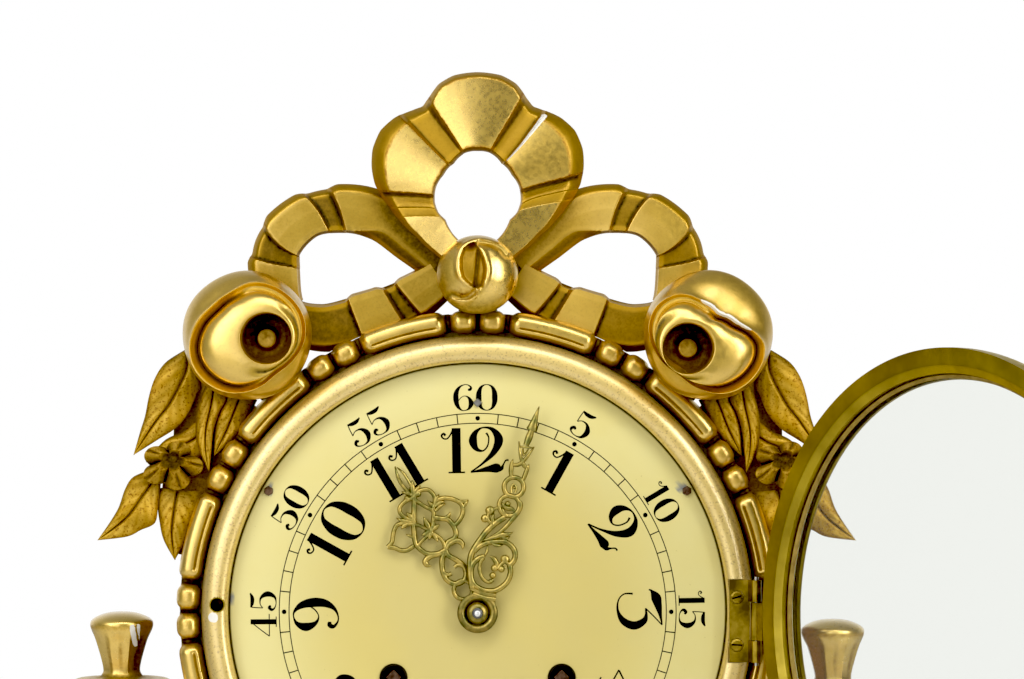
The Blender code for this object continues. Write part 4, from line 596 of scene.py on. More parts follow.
def track():
    """Minute track: two fine circles, a tick at each minute and a round dot at every fifth."""
    ring = np.arange(360) * tau / 360
    round_way = np.stack([np.sin(ring), np.cos(ring)], -1)
    out = [inked(r * round_way, np.full(360, 0.33), True) for r in (TRACK_OUT, TRACK_IN)]
    for minute in range(60):
        way = np.array([sin(minute * tau / 60), cos(minute * tau / 60)])
        if minute % 5:
            out.append(inked(np.linspace(TRACK_IN, TRACK_OUT, 6)[:, None] * way, np.full(6, 0.4)))
        else:
            t = np.linspace(-1, 1, 13)
            out.append(inked((TRACK_DOT + 0.85 * t)[:, None] * way, 1.75 * np.sqrt(np.maximum(1 - t * t, 0.001))))
    return out


# Shapes: cast hands
HUB_U, HUB_V, HAND_PIXEL = 858, 1692, 0.045
WIRE = [(-1, 0), (-.93, .45), (-.6, .86), (0, 1), (.6, .86), (.93, .45), (1, 0), (0, -.25)]


def cast(points, half, f, loop=False, rise=0.95):
    """One limb of a hand, traced in enlarged pixels: a half-round wire along the smooth curve through its points."""
    p = np.asarray(points, float)
    wide = p[:, 2] if p.shape[1] > 2 else np.full(len(p), 1.2 * half)
    p = flow(np.column_stack([(p[:, 0] - HUB_U) * HAND_PIXEL, (HUB_V - p[:, 1]) * HAND_PIXEL, wide * HAND_PIXEL]),
             9 * len(p), loop)
    path = np.concatenate([p[-1:], p, p[:2]]) if loop else p
    grid = sweep(path[:, :2], WIRE, path[:, 2], f, rise)
    up = np.array([d for _, d in WIRE])
    grid = grid[1:-2] if loop else grid
    # Patina and painted shade: each wire darkens down its sides and stays light on its crown.
    return patch(grid, loop, True, cap=not loop, grime=0.75 * (1 - ease(up, 0.0, 0.9)))


def boss(u, v, r, f, rise=1.1, steps=20):
    """A cast bead: a quarter round turned about its own axis."""
    t = np.linspace(0, pi / 2, 6)
    profile = np.concatenate([[(0, -0.2)], np.stack([np.cos(t), np.sin(t)], -1)]) * (r * HAND_PIXEL, rise) + (0, f)
    return patch(lathe(profile, steps, (u - HUB_U) * HAND_PIXEL, (HUB_V - v) * HAND_PIXEL), True)


def hoop(u, v, outer, inner, f):
    """A cast ring."""
    t = np.arange(12) * tau / 12
    mid = [(u + 0.5 * (outer + inner) * np.sin(k), v - 0.5 * (outer + inner) * np.cos(k)) for k in t]
    return cast(mid, 0.5 * (outer - inner), f, True)


HOUR_LIMBS = [
    ([(590, 1220, 14), (630, 1150, 18), (692, 1118, 24), (734, 1142, 22), (738, 1186, 5)], 16),
    ([(590, 1222, 14), (530, 1232, 18), (468, 1250, 23), (438, 1286, 24), (456, 1314, 20), (488, 1320, 5)], 16),
    ([(610, 1230), (600, 1195), (540, 1220), (470, 1225), (420, 1205), (365, 1150), (350, 1080), (345, 1000),
      (350, 955)], 17),
    ([(345, 1160), (290, 1195), (240, 1195), (190, 1175), (138, 1168)], 16),
    ([(138, 1168), (170, 1130), (178, 1080), (190, 1030), (215, 990), (260, 980), (350, 985)], 15),
    ([(515, 800), (560, 782), (600, 775), (660, 785), (712, 810), (738, 850), (735, 910), (700, 970), (665, 1000)], 16),
    ([(700, 800, 8), (745, 805, 16), (784, 790, 4)], 14), ([(738, 860, 8), (760, 825, 14), (784, 790, 4)], 14),
    ([(500, 930), (560, 940), (620, 950), (665, 1000), (685, 1060), (670, 1100), (620, 1130), (595, 1200)], 18),
    ([(350, 775), (360, 750), (400, 715), (460, 710), (505, 750), (515, 800), (500, 880)], 15),
    ([(345, 775), (280, 800), (235, 850), (240, 900), (290, 940), (350, 960)], 15),
    ([(350, 760), (347, 860), (345, 985)], 17),
    ([(340, 780), (430, 840), (500, 880), (500, 950), (490, 1050)], 14),
    ([(490, 1050), (420, 1110), (380, 1160)], 12), ([(490, 1050), (570, 1110), (600, 1190)], 13),
    ([(490, 1050), (400, 1000), (350, 985)], 12), ([(350, 1092, 14), (318, 1082, 14), (284, 1068, 4)], 13),
    ([(522, 878, 12), (552, 846, 14), (600, 820, 5)], 13), ([(600, 932, 12), (630, 914, 15), (638, 886, 4)], 13),
    ([(345, 775, 12), (292, 716, 15), (250, 668, 15), (216, 600, 13), (196, 522, 6)], 15),
    ([(345, 750, 10), (330, 692, 13), (304, 640, 12), (266, 580, 11), (212, 530, 4)], 13),
    ([(690, 1465), (735, 1440), (765, 1425)], 15), ([(742, 1322), (700, 1312), (672, 1330)], 14),
    ([(582, 1370), (620, 1392), (650, 1380)], 14),
]
# Leaves of the hour hand, each from its foot over its widest place to its point
HOUR_LEAVES = [
    [(338, 766, 10), (336, 714, 25), (334, 668, 18), (332, 632, 3)], [(345, 742, 10), (370, 706, 19), (400, 674, 3)],
    [(330, 752, 10), (292, 736, 17), (248, 724, 3)], [(510, 852, 8), (524, 798, 21), (548, 744, 3)],
    [(514, 846, 8), (552, 816, 20), (594, 800, 3)], [(506, 848, 8), (482, 822, 18), (454, 796, 3)],
    [(344, 950, 8), (314, 918, 22), (284, 888, 3)], [(332, 936, 8), (342, 905, 17), (338, 878, 3)],
    [(330, 966, 8), (270, 962, 22), (206, 936, 3)], [(300, 980, 8), (270, 998, 20), (248, 1024, 3)],
    [(484, 1040, 8), (452, 982, 25), (424, 926, 3)], [(484, 1036, 8), (500, 996, 20), (512, 958, 3)],
    [(488, 1038, 8), (522, 1010, 21), (554, 986, 3)], [(488, 1042, 8), (516, 1084, 22), (540, 1126, 3)],
    [(482, 1044, 8), (476, 1080, 20), (468, 1112, 3)], [(480, 1040, 8), (444, 1060, 22), (408, 1078, 3)],
]
HOUR_HOOPS = [[(600, 1212), (572, 1280), (580, 1370), (615, 1435), (680, 1465), (745, 1440), (765, 1380), (745, 1320),
               (690, 1275), (625, 1238)]]
MINUTE_LIMBS = [
    ([(815, 1500), (798, 1350), (800, 1260), (824, 1192), (880, 1106), (936, 1034), (1000, 975), (1078, 925)], 21),
    ([(1115, 1310), (1122, 1372), (1094, 1446), (1030, 1500), (958, 1520), (878, 1500), (820, 1450), (804, 1372),
      (822, 1300), (870, 1254), (912, 1244)], 19),
    ([(905, 1256), (880, 1290), (874, 1356), (902, 1420), (946, 1446), (986, 1428)], 13),
    ([(830, 1200), (880, 1156), (942, 1132), (1006, 1124), (1080, 1126), (1136, 1166), (1160, 1222), (1148, 1276),
      (1115, 1310)], 19),
    ([(925, 1108, 9), (1008, 1066, 15), (1076, 1012, 19), (1130, 950, 20), (1184, 882, 20), (1203, 835, 20),
      (1195, 800, 18)], 17),
    ([(1115, 1310), (1080, 1285), (1050, 1300), (1020, 1340)], 14),
    ([(985, 985, 16), (942, 950, 16), (946, 905, 15), (985, 868, 14), (1020, 850, 12)], 16),
    ([(1142, 462, 4), (1133, 500, 17), (1126, 560, 19), (1130, 612, 16)], 16),
    ([(1270, 503, 4), (1256, 540, 17), (1238, 590, 19), (1222, 628, 16)], 16),
    ([(1136, 505, 14), (1180, 508, 17), (1214, 492, 18), (1236, 520, 17), (1258, 532, 14)], 16),
    ([(1190, 320, 5), (1198, 410, 12), (1215, 488, 16)], 12), ([(1312, 364, 5), (1264, 432, 13), (1217, 488, 16)], 12),
    ([(1200, 362, 8), (1250, 366, 10), (1302, 372, 6)], 9), ([(1222, 375, 6), (1229, 432, 9), (1266, 378, 6)], 8),
    ([(1351, 41, 4), (1334, 92, 14), (1318, 140, 24), (1298, 205, 38), (1290, 228, 42), (1288, 234, 20)], 18),
    ([(1292, 226, 22), (1270, 290, 29), (1246, 352, 22)], 20),
    ([(1128, 732, 10), (1130, 690, 10), (1149, 662, 10), (1168, 690, 10), (1160, 728, 10)], 10),
]
MINUTE_LEAVES = [
    [(900, 1112, 8), (980, 1092, 17), (1050, 1070, 24), (1094, 1066, 18), (1142, 1048, 3)],
    [(1050, 1080, 14), (1085, 1098, 14), (1122, 1080, 3)], [(975, 1140, 10), (1020, 1154, 13), (1064, 1148, 3)],
    [(942, 1160, 10), (932, 1200, 13), (914, 1244, 6)],
    [(958, 1240, 8), (990, 1260, 19), (1012, 1300, 20), (1010, 1332, 4)],
    [(1052, 812, 8), (1085, 850, 19), (1130, 862, 19), (1164, 882, 5)],
    [(1100, 920, 8), (1072, 890, 16), (1052, 846, 4)],
    [(985, 985, 10), (978, 940, 18), (990, 892, 4)],
]
# The clamp that grips the boss
CLAMP = [([(800, 1494), (902, 1536), (1008, 1552)], 17), ([(822, 1540), (910, 1572), (1002, 1586)], 20)]
BERRIES = [(994, 1334, 30), (1050, 1342, 28), (980, 1392, 27), (1078, 1264, 38), (958, 874, 38), (918, 936, 34),
           (964, 1440, 20), (1100, 820, 24), (1150, 688, 14)]


# Shapes: ribbon crest
LOOP_INNER = ((0, 10.4), (28, 10.8), (55, 10.5), (82, 12.4), (99, 15.1), (117, 17.4), (130, 18.4), (141, 18.4),
              (156, 21.5), (162, 22.6), (180, 25))
LOOP_OUTER = ((0, 39.1), (13, 38.9), (22, 37.6), (30, 34.9), (36.7, 33.5), (43.6, 35), (53, 37.7), (63, 39.6),
              (73.5, 39.7), (83, 38.7), (92, 37.3), (98, 35.8), (106.5, 33.6), (117, 31.8), (132, 30.2), (149, 30.7),
              (180, 34))


def table(points, t):
    """Value along a table of (t, value), eased a little at its corners."""
    p = np.asarray(points, float)
    return sum(np.interp(np.abs(t + k), p[:, 0], p[:, 1]) for k in (-1.2, -0.6, 0, 0.6, 1.2)) / 5


# Lines across the middle loop in photo pixels, inner end then outer end, for its left and its right side
LOOP_LINES = ((((463, 150), (428, 96)), ((446, 164), (400, 116)), ((434, 195), (379, 190)),
               ((434.5, 200.5), (378, 198)),
               ((434.5, 210), (383.5, 209)), ((442, 216), (392, 218))),
              (((490, 150), (523, 93)), ((513, 158), (544.5, 113)), ((519.5, 190), (581.5, 172)),
               ((519, 196), (582.5, 179)), ((518.5, 204), (580, 187.5)), ((517, 210.5), (570, 198.5))))


def loop_line(ends, t):
    """Angle from the top, seen from the loop's centre, along a straight line between two photo places."""
    (x0, z0), (x1, z1) = (seen(u, v, LOOP_F + RIBBON_T) for u, v in ends)
    return np.degrees(np.arctan2(np.abs(x0 + (x1 - x0) * t), z0 + (z1 - z0) * t - LOOP_Z))


def centre_loop(fold):
    """Middle ribbon loop: radius runs from the inner to the outer edge for every angle; pleats sink the face between
    slanted lines that go from inner to outer angle, and the outer rim rolls back."""
    deg = np.linspace(-180, 180, 1080, endpoint=False)[:, None]
    t = np.linspace(0, 1, 64)[None]
    away = np.abs(deg)
    inner, outer = table(LOOP_INNER, deg), table(LOOP_OUTER, deg)
    line = [np.where(deg < 0, loop_line(a, t), loop_line(b, t)) for a, b in zip(*LOOP_LINES)]
    pleat = ease(away, line[0] - 0.6, line[0] + 5.0) * (1 - 0.15 * ease(away, line[0] + 6, line[1] - 3))
    pleat = pleat * (1 - ease(away, line[1] - 2.8, line[1]))
    low = ease(away, line[2] - 0.4, 0.5 * (line[2] + line[3]) + 0.8) * (1 - 0.3 * ease(away, line[3], line[4]))
    low = low - 0.22 * ease(away, line[4] - 0.6, line[4] + 0.6) - 0.14 * ease(away, line[5] - 0.6, line[5] + 1)
    down = fold * (pleat + low * (1 - 0.55 * ease(away, 150, 180)))
    top = (away < line[0]) | ((away > line[1]) & (away < line[2])) | (away > line[5] + 1)
    mid, half = 0.5 * (line[1] + line[2]), 0.5 * (line[2] - line[1])
    bow = np.where(away < line[0], (away / line[0]) ** 2, 0)
    bow = bow + np.where((away > line[1]) & (away < line[2]), ((away - mid) / half) ** 2, 0)
    crease = table(((0, .925), (22, .915), (30, .88), (48, .83), (62, .80), (96, .80), (125, .88), (180, .93)), deg)
    rim = ease(t, crease - 0.012, crease + 0.012)
    roll = 4.6 * np.clip((t - crease) / (1 - crease), 0, 1) ** 1.5 + 4.4 * np.clip((0.05 - t) / 0.05, 0, 1) ** 2
    lean = np.where(away < line[0], 2.0, 2.8 - 1.6 * ease(away, 95, 125)) * t
    f = LOOP_F + 0.98 * RIBBON_T - down - roll - 0.7 * bow - lean
    r = inner + (outer - inner) * t
    back = LOOP_F - 0.8 * RIBBON_T + 0 * deg
    r = np.concatenate([r, outer - 0.6, outer - 4, inner + 3, inner + 0.6], 1)
    f = np.concatenate([f, np.minimum(f[:, -1:], back + 1.6), back, back, np.minimum(f[:, :1], back + 1.6)], 1)
    a = np.radians(deg)
    grid = place(r * np.sin(a), f, LOOP_Z + r * np.cos(a))
    deep = hollows(grid, 6, (True, True))
    pad = ((0, 0), (0, 4))
    flat = np.pad((top * (1 - rim) * ease(t, 0.03, 0.07)).astype(float), pad)
    edge = np.pad(hump(t - crease, 0.012) * top + hump(t - 0.05, 0.02) * top
                  + hump(away - line[0], 0.7) + hump(away - line[2], 0.7)
                  + 0.6 * hump(away - line[1], 0.6), pad)
    # Painted shade on the walls that step down just past the first and the third pleat line.
    dark = np.pad(0.55 * hump(away - line[0] - 2.6, 2.4) + 0.75 * hump(away - line[2] - 1.2, 1.3), pad)
    crack = hump(away - line[1] - 0.3, 0.8 + 0.8 * t) * ease(t, 0.04, 0.1) * (1 - ease(t, 0.9, 0.97))
    crack = np.pad(crack * (0.12 + 1.1 * (deg > 0)), pad)
    side = np.pad(0.3 * ((deg > 50) & (deg < 107)) + 0 * t, pad)
    # Painted shade on the back rows that face the wall; the sum below adds dust and painted shade in the hollows and
    # off the flat fields.
    wall = np.concatenate([0 * t + 0 * deg, np.full((len(deg), 4), 0.7)], 1)
    dirt = np.clip(0.16 * (1 - flat) + 1.2 * deep + wall + dark + np.pad(0.12 * rim, pad), 0, 0.92)
    return patch(grid, True, True, grime=dirt, shine=flat * (1 - side), bole=np.clip(edge, 0, 1) * 0.85, chalk=crack)


SIDE_PATH = ((-13.5, 11.0, 7.4, 14.6), (-28.0, 1.4, 9.7, 15.0), (-42.5, -4.2, 10.5, 15.2), (-57.5, -6.8, 9.9, 15.6),
             (-70.5, -1.8, 8.9, 16.0), (-74.0, 13.5, 9.4, 15.8), (-72.6, 24.5, 9.2, 15.0), (-62.0, 34.4, 8.6, 14.6),
             (-47.7, 36.8, 8.9, 14.6), (-35.0, 33.6, 8.9, 14.8), (-24.3, 24.5, 7.6, 15.0), (-15.0, 16.0, 6.0, 15.2))
# Pleats by place along the side loop: where each starts and ends, its depth and its slant
SIDE_FOLDS = ((0.8, 1.18, 0.9, 0.06), (2.1, 3.9, 0.8, 0.06), (5.25, 6.0, 0.95, -0.2), (7.3, 7.85, 1.0, 0.2))


def side_loop(mirror, fold):
    """Side ribbon loop: a flat section carried along the curve, its face dropped at every pleat along slanted lines."""
    n = 900
    x, z, half, down = flow(SIDE_PATH, n).T
    path = np.stack([x, BEAD_OUT + z], -1)
    run = np.gradient(path, axis=0)
    run /= np.hypot(*run.T)[:, None]
    s = np.linspace(0, len(SIDE_PATH) - 1, n)[:, None]
    v = np.linspace(-1, 1, 41)[None]
    sunk, edge, waist = 0, 0, 0
    for a, b, k, slant in SIDE_FOLDS:
        at = s + slant * v
        sunk = sunk + k * ease(at, a - 0.02, a + 0.05) * (1 - ease(at, b - 0.12, b))
        waist = waist + ease(at, a - 0.16, a + 0.12) * (1 - ease(at, b - 0.12, b + 0.16))
        edge = edge + hump(at - a, 0.02) + 0.7 * hump(at - b, 0.02)
    top = ease(-sunk, -0.2, -0.05)
    rim = ease(v, 0.66, 0.7)
    bevel = 0.1 + 0.5 * ease(s, 8.2, 9.6)
    slope = np.clip((-v - 1 + bevel) / bevel, 0, 1)
    roll = 3.6 * np.clip((v - 0.68) / 0.32, 0, 1) ** 1.5 + 3.8 * slope ** 1.2
    lean = 0.07 * (-x[:, None] - 45)
    f = BAND_F - down[:, None] + 0.98 * RIBBON_T - 0.85 * fold * sunk - roll - 0.3 * np.abs(v) + lean
    crease = hump(v + 1 - bevel, 0.07) * ease(s, 8.2, 9.2)
    # Painted shadow of the middle loop where the strand runs to the knot, stronger on the left loop, partly in
    # red-brown.
    shade = (0.42 if mirror > 0 else 0.25) * ease(s + 0.7 * v, 8.5, 9.6) * ease(v, -0.4, 0.0)
    # Darker all over on the left loop than on the right.
    left_darker = 0.3 if mirror > 0 else 0.1
    v = v * (1 - np.clip(waist, 0, 1) * np.where(v > 0, 0.15, 0.14 * (s < 4.4)))
    back = (BAND_F - down - 0.8 * RIBBON_T)[:, None]
    v = np.concatenate([v, np.broadcast_to([0.85, 0.5, -0.5, -0.9], (n, 4))], 1)
    f = np.concatenate([f, back + 1.5, back, back, back + 1.5], 1)
    px = path[:, :1] - run[:, 1:] * v * half[:, None]
    pz = path[:, 1:] + run[:, :1] * v * half[:, None]
    reach = np.hypot(px, pz)
    push = np.maximum(1, (BEAD_OUT - 0.9 * ease(s, 0.6, 1.2)) / reach)
    grid = place(mirror * px * push, f, pz * push)
    deep = hollows(grid, 5, (False, True))
    pad = ((0, 0), (0, 4))
    flat = np.pad(top * (1 - rim) * (1 - ease(slope, 0.02, 0.2)), pad)
    # Dust and painted shade: darker in hollows and off the flat fields, at the rim, down the rolled-back slope, in its
    # crease, and on the back rows that face the wall.
    dirt = 0.34 * (1 - flat) + 1.3 * deep + left_darker
    dirt = np.clip(dirt + np.pad(0.1 * rim + 0.15 * ease(slope, 0.02, 0.3) + 0.5 * crease + shade, pad), 0, 0.92)
    dirt[:, -4:] = 0.7
    lower = 0.5 + 0.1 * (s < 4.4) + 0.2 * ease(s, 8, 9)
    return patch(grid, False, True, True, grime=dirt, shine=flat * (1 - lower),
                 bole=np.clip(np.pad(0.7 * edge + 0.6 * shade, pad), 0, 1))


# Shapes: rosebud, roses and small flowers


# Rosebud: sides of its hollow as (z, x), and the two petal lips that wind round it as (x, z)
BUD_HOLLOW = (((-5.2, -.3), (-4.9, -1.5), (-2.9, -4.0), (-1, -5.6), (2, -6.4), (5.9, -6.4), (9.8, -5.0), (11.6, -2.6),
               (12.2, -.8)),
              ((-5.2, .3), (-4.4, 1.6), (-1.5, 3.0), (2, 3.5), (5.4, 2.8), (8.8, 1.3), (10.7, -.2), (12.2, -.8)))
BUD_LIPS = (((11.2, 8.3), (9.2, 10.6), (5.9, 12.4), (1, 13.2), (-2.9, 12.2), (-5.9, 9.8), (-7.1, 5.9), (-7.2, 2),
             (-6.3, -1.2), (-4.4, -3.3), (-1.5, -5.1), (0, -5.7)),
            ((0, 11.0), (2, 9), (3.5, 5.4), (4.2, 2), (3.8, -1.5), (2.5, -4.6), (0, -7.8), (-2.9, -9.8), (-5.9, -10.3),
             (-9.4, -9.0)))


def bud_grid(carve):
    """Rosebud: a ball seen from its tip, with a lens-shaped hollow between two wrapped petals whose lips stand up."""
    n, m = 240, 90
    a = circle(n)
    q = np.linspace(0, 1, m)[None]
    r = 14.6 * np.sin(q * pi * 0.62)
    h = 14.4 * (np.cos(q * pi * 0.62) - cos(0.62 * pi)) / (1 - cos(0.62 * pi))
    x, z = r * np.sin(a), r * np.cos(a)
    left, right = (np.interp(z, [k[0] for k in side], [k[1] for k in side]) for side in BUD_HOLLOW)
    half = 0.5 * (right - left)
    off = (x - 0.5 * (left + right)) / np.maximum(half, 0.05)
    lens = (1 - ease(np.abs(off), 0.72, 1.0)) * ease(half, 0.35, 1.0) * ease(z, -5.3, -4.7)
    curves = [flow(c, 120) for c in BUD_LIPS]
    lips = [np.hypot(x[..., None] - k[:, 0], z[..., None] - k[:, 1]).min(-1) for k in curves]
    lip = hump(lips[0], 0.8) + hump(lips[1], 0.8)
    under = hump(lips[0] - 1.7, 1.1) * (x > 0) * (z < 13.2 - 0.28 * x)
    under = under + hump(lips[1] - 1.7, 1.1) * (x < -0.5) * (z > -9.4) * (z < -4)
    core = hump(x + 0.4 - 0.1 * z, 0.7)
    h = h - carve * (lens * (2.6 + 1.4 * (1 - off ** 2) + 0.8 * core) - 0.75 * lip * (1 - lens) + 1.1 * under
                     * (1 - lens))
    base = LOOP_F + 0.84 * RIBBON_T + 0.3
    grid = place(x, base + h, 121.8 + 0.97 * z)
    stain = np.exp(-((x + 5.0) / 3.2) ** 2 - ((z + 7.2) / 1.5) ** 2)
    foot = ease(q, 0.8, 1.0) + 0 * a
    # Painted shade: darker towards the left and the bottom, partly in red-brown; the hollow, the places under the lips
    # and the foot are darker too, dust and painted shade.
    dusk = 0.34 * ease(-x, 3, 12) * ease(12 - z, 0, 8) + 0.4 * ease(-z, 6, 13)
    dirt = np.clip(lens * (0.3 + 0.45 * core) + 0.25 * under + 0.6 * foot + dusk * (1 - lip), 0, 0.95)
    return patch(grid, True, False, grime=dirt, shine=(1 - lens) * (1 - 0.3 * lip),
                 bole=np.clip(0.9 * stain + 0.5 * dusk, 0, 1))


# Lip of the outer petals by angle from the top, clockwise, as a part of the flower's radius
ROSE_LIP = ((-15, .73), (7, .84), (29.5, .9), (54, .94), (75.5, .95), (96.6, .93), (117, .85), (142.5, .75), (165, .84),
            (193, .94), (215, .95), (235, .955), (252, .94), (269, .86), (287.6, .78), (309, .7), (345, .73),
            (367, .84))


# The right rose's outer petal folds further over its heart
ROSE_LIP_RIGHT = ((-24, .39), (11, .55), (23, .68), (32, .8), (58, .94), (86, .96), (117, .85), (142.5, .75),
                  (165, .84),
                  (193, .94), (215, .95), (235, .955), (252, .94), (267, .85), (275, .69), (290, .51), (336, .39))


def rose_grid(x, z, f, radius, tall, heart_x, heart_z, carve, mirror=1, scar=0.0):
    """Wrapped rose: nested closed curves from the base over the outer lip, down its groove, over the inner petals and
    into the heart, whose centre moves over from the flower's; every curve has a radius, a height and a centre."""
    n = 300
    a = circle(n)
    deg = np.degrees(a) * mirror % 360
    table_of = np.array(ROSE_LIP_RIGHT if scar else ROSE_LIP)
    about = np.linspace(-9, 9, 7)
    lip = sum(np.interp((deg + k - table_of[0, 0]) % 360 + table_of[0, 0], *table_of.T) for k in about) / 7
    # place along the way: radius as a part of the flower's, or of its lip, then height and shift to the heart
    way = flow(np.array([(0, .70, .0, 0), (0, .86, .14, 0), (0, .98, .33, 0), (0, 1.0, .46, 0), (.35, .64, .66, 0),
                         (.86, .12, .80, .0), (.985, 0, .84, .01), (.985, -.025, .82, .02), (.965, -.05, .76, .03),
                         (.94, -.075, .72, .05), (.925, -.085, .745, .07), (.86, -.04, .835, .16), (.62, .11, .93, .42),
                         (.28, .28, .985, .72), (0, .42, 1.0, .95), (0, .395, .985, .98), (0, .38, .93, 1),
                         (0, .375, .8, 1), (0, .36, .64, 1), (0, .28, .55, 1), (0, .19, .56, .98),
                         (0, .16, .63, .96), (0, .14, .675, .96),
                         (0, .07, .68, .96), (0, .0, .675, .96)]), 156)
    share, plain, h, shift = way.T
    q = np.linspace(0, 24, 156)[None]
    r = radius * (share * lip + plain)
    h = tall * h * np.ones_like(a)
    outer = ease(np.cos(a * mirror - radians(262)), -0.35, 0.5)
    h = h + (1 - outer) * tall * 0.075 * hump(q - 9.2, 1.1)
    groove = hump(q - 9.0, 0.6)
    h = h - carve * groove * 1.2 * outer
    turn = a * mirror - radians(120)
    curl = hump(q - (12.4 + 1.2 * np.sin(turn / 2 + 0.3) ** 2), 0.5) * ease(np.cos(turn), -0.1, 0.6)
    shelf = hump(q - 18.2, 1.0) * ease(np.cos(a * mirror - radians(135)), 0.2, 0.8)
    h = h - carve * 1.3 * curl + carve * 2.2 * shelf
    wave = 1 + 0.012 * np.sin(5 * a + 1.1) * hump(q - 5, 3)
    gx = x + shift * heart_x + r * wave * np.sin(a)
    gz = z + shift * heart_z + r * wave * np.cos(a)
    grid = place(gx, f + h, gz)
    deep = hollows(grid, 4, (True, False))
    heart = ease(q, 15.2, 17.0) * (1 - 0.36 * ease(q, 21.5, 22.2))
    # Dust and painted shade: the heart darker towards its top, and darker in the groove, the hollows, the curl and at
    # the foot; the heart's red is also deeper at the top.
    dirt = np.clip((0.46 + 0.2 * np.cos(a + 0.5 * mirror)) * heart + (0.1 + 0.35 * outer) * groove + 0.9
                   * np.maximum(deep, 0) + 0.6 * curl + 0.55 * ease(-q, -2.6, -0.8), 0, 0.94)
    rub = hump(q - 6.0, 0.5) + hump(q - 14.4, 0.45)
    chip = scar * hump(q - 6.5, 1.1) * ease(np.cos(np.radians(deg) - radians(325)), 0.62, 0.74)
    return patch(grid, True, False, grime=dirt, shine=(0.55 + 0.15 * ease(q, 9, 11)) * (1 - heart) * (1 - groove),
                 bole=0.25 * rub + (0.6 + 0.2 * np.cos(a)) * heart, chalk=1.15 * chip)


def flower_grid(x, z, f, radius, tall, carve, petals=5, spin=0.25, squash=0.8, lift=0.0):
    """Small open flower: lobed curves rising to the petals' tips, each dished along its middle, round a sunk eye."""
    a = circle(200)
    q = np.linspace(0, 1, 44)[None]
    lobe = np.abs(np.cos(petals * (a - spin) / 2)) ** 0.7
    notch = 0.34 * (1 - lobe) * (q < .75) * ease(q, 0, .3)
    r = radius * np.interp(q, [0, .2, .42, .7, .86, 1], [.55, .95, 1, .46, .16, 0]) * (1 - notch)
    h = tall * np.interp(q, [0, .2, .42, .7, .84, .92, 1], [0, .45, .78, .82, .55, .62, .66])
    cleft = (1 - lobe) ** 1.5 * ease(q, .2, .4) * (1 - ease(q, .62, .8))
    rib = hump(np.sin(petals * (a - spin) / 2), 0.16) * ease(q, .3, .45) * (1 - ease(q, .6, .75))
    h = h - carve * (4.4 * cleft + 0.9 * rib)
    grid = place(x + r * np.sin(a), f + h, z + squash * r * np.cos(a) + lift * radius * ease(q, .3, .9))
    eye = ease(q, .7, .8) + 0 * a
    # Dust and painted shade: darker all over, more in the clefts, along the ribs and in the sunk eye.
    return patch(grid, True, False, grime=np.clip(0.3 + 0.8 * cleft + 0.35 * rib + 0.5 * eye, 0, .9),
                 shine=0.25 * (1 - eye), bole=0.2 * (1 - cleft))


# Shapes: leaves


def leaf_grid(mid, left, right, root, tip, carve, mirror=1, arch=3.0, thick=3.6, veins=7, turn=0.0):
    """Carved leaf: every cross line runs from the left edge over the midrib to the right edge; the two halves swell,
    the rib is a sunk line, side veins slant towards the tip and the edges fall back to a flat underside."""
    n, m = 90, 33
    c, e, g = (flow(k, n) for k in (mid, left, right))
    u = np.linspace(0, 1, n)[:, None]
    v = np.linspace(-1, 1, m)[None]
    p = c[:, None] + np.maximum(v, 0)[..., None] * (g - c)[:, None] + np.maximum(-v, 0)[..., None] * (e - c)[:, None]
    wide = np.hypot(*(g - e).T)[:, None]
    body = np.clip(wide / 9, 0, 1)
    swell = np.sin(pi * np.clip(np.abs(v), 0, 1) ** 0.75)
    rib = hump(v, 0.06)
    vein = np.abs(np.sin(pi * (veins * u - 1.9 * np.abs(v)))) ** 3
    vein = vein * ease(np.abs(v), 0.08, 0.25) * (1 - ease(np.abs(v), .75, 1))
    dent = np.sin(pi * (3.3 * u + 0.8 * v + veins)) * ease(np.abs(v), 0.1, 0.5) * np.sin(pi * u)
    f = root + (tip - root) * u + arch * np.sin(pi * u * 0.9) * 0.6 + turn * v * wide * 0.12
    f = f + body * (carve * (0.5 * swell - 0.9 * rib - 0.07 * vein - 0.35 * dent) - 1.0 * np.abs(v) ** 6)
    low = np.concatenate([f[:, -1:] - 1.2, f[:, m // 2:m // 2 + 1] - thick, f[:, :1] - 1.2], 1)
    under = np.stack([0.9 * p[:, -1] + 0.1 * c, c, 0.9 * p[:, 0] + 0.1 * c], 1)
    p, f = np.concatenate([p, under], 1), np.concatenate([f, low], 1)
    grid = place(mirror * p[..., 0], f, p[..., 1])
    pad = ((0, 0), (0, 3))
    # Dust and painted shade: darker along the rib, veins and dents, at the edges, towards the root and on the underside
    # rows.
    dirt = np.clip(0.12 + 0.5 * rib + 0.04 * vein + 0.12 * dent + 0.3 * ease(np.abs(v), .93, 1) + 0.35
                   * (1 - ease(u, 0, .35)), 0, .9)
    dirt = np.concatenate([dirt, np.full((n, 3), .8)], 1)
    top = np.pad(swell * (1 - vein) * (1 - rib), pad)
    return patch(grid, False, True, True, grime=dirt, shine=0.1 + 0.35 * top,
                 bole=0.35 * np.pad(hump(np.abs(v) - .9, .08) + 0 * u, pad))


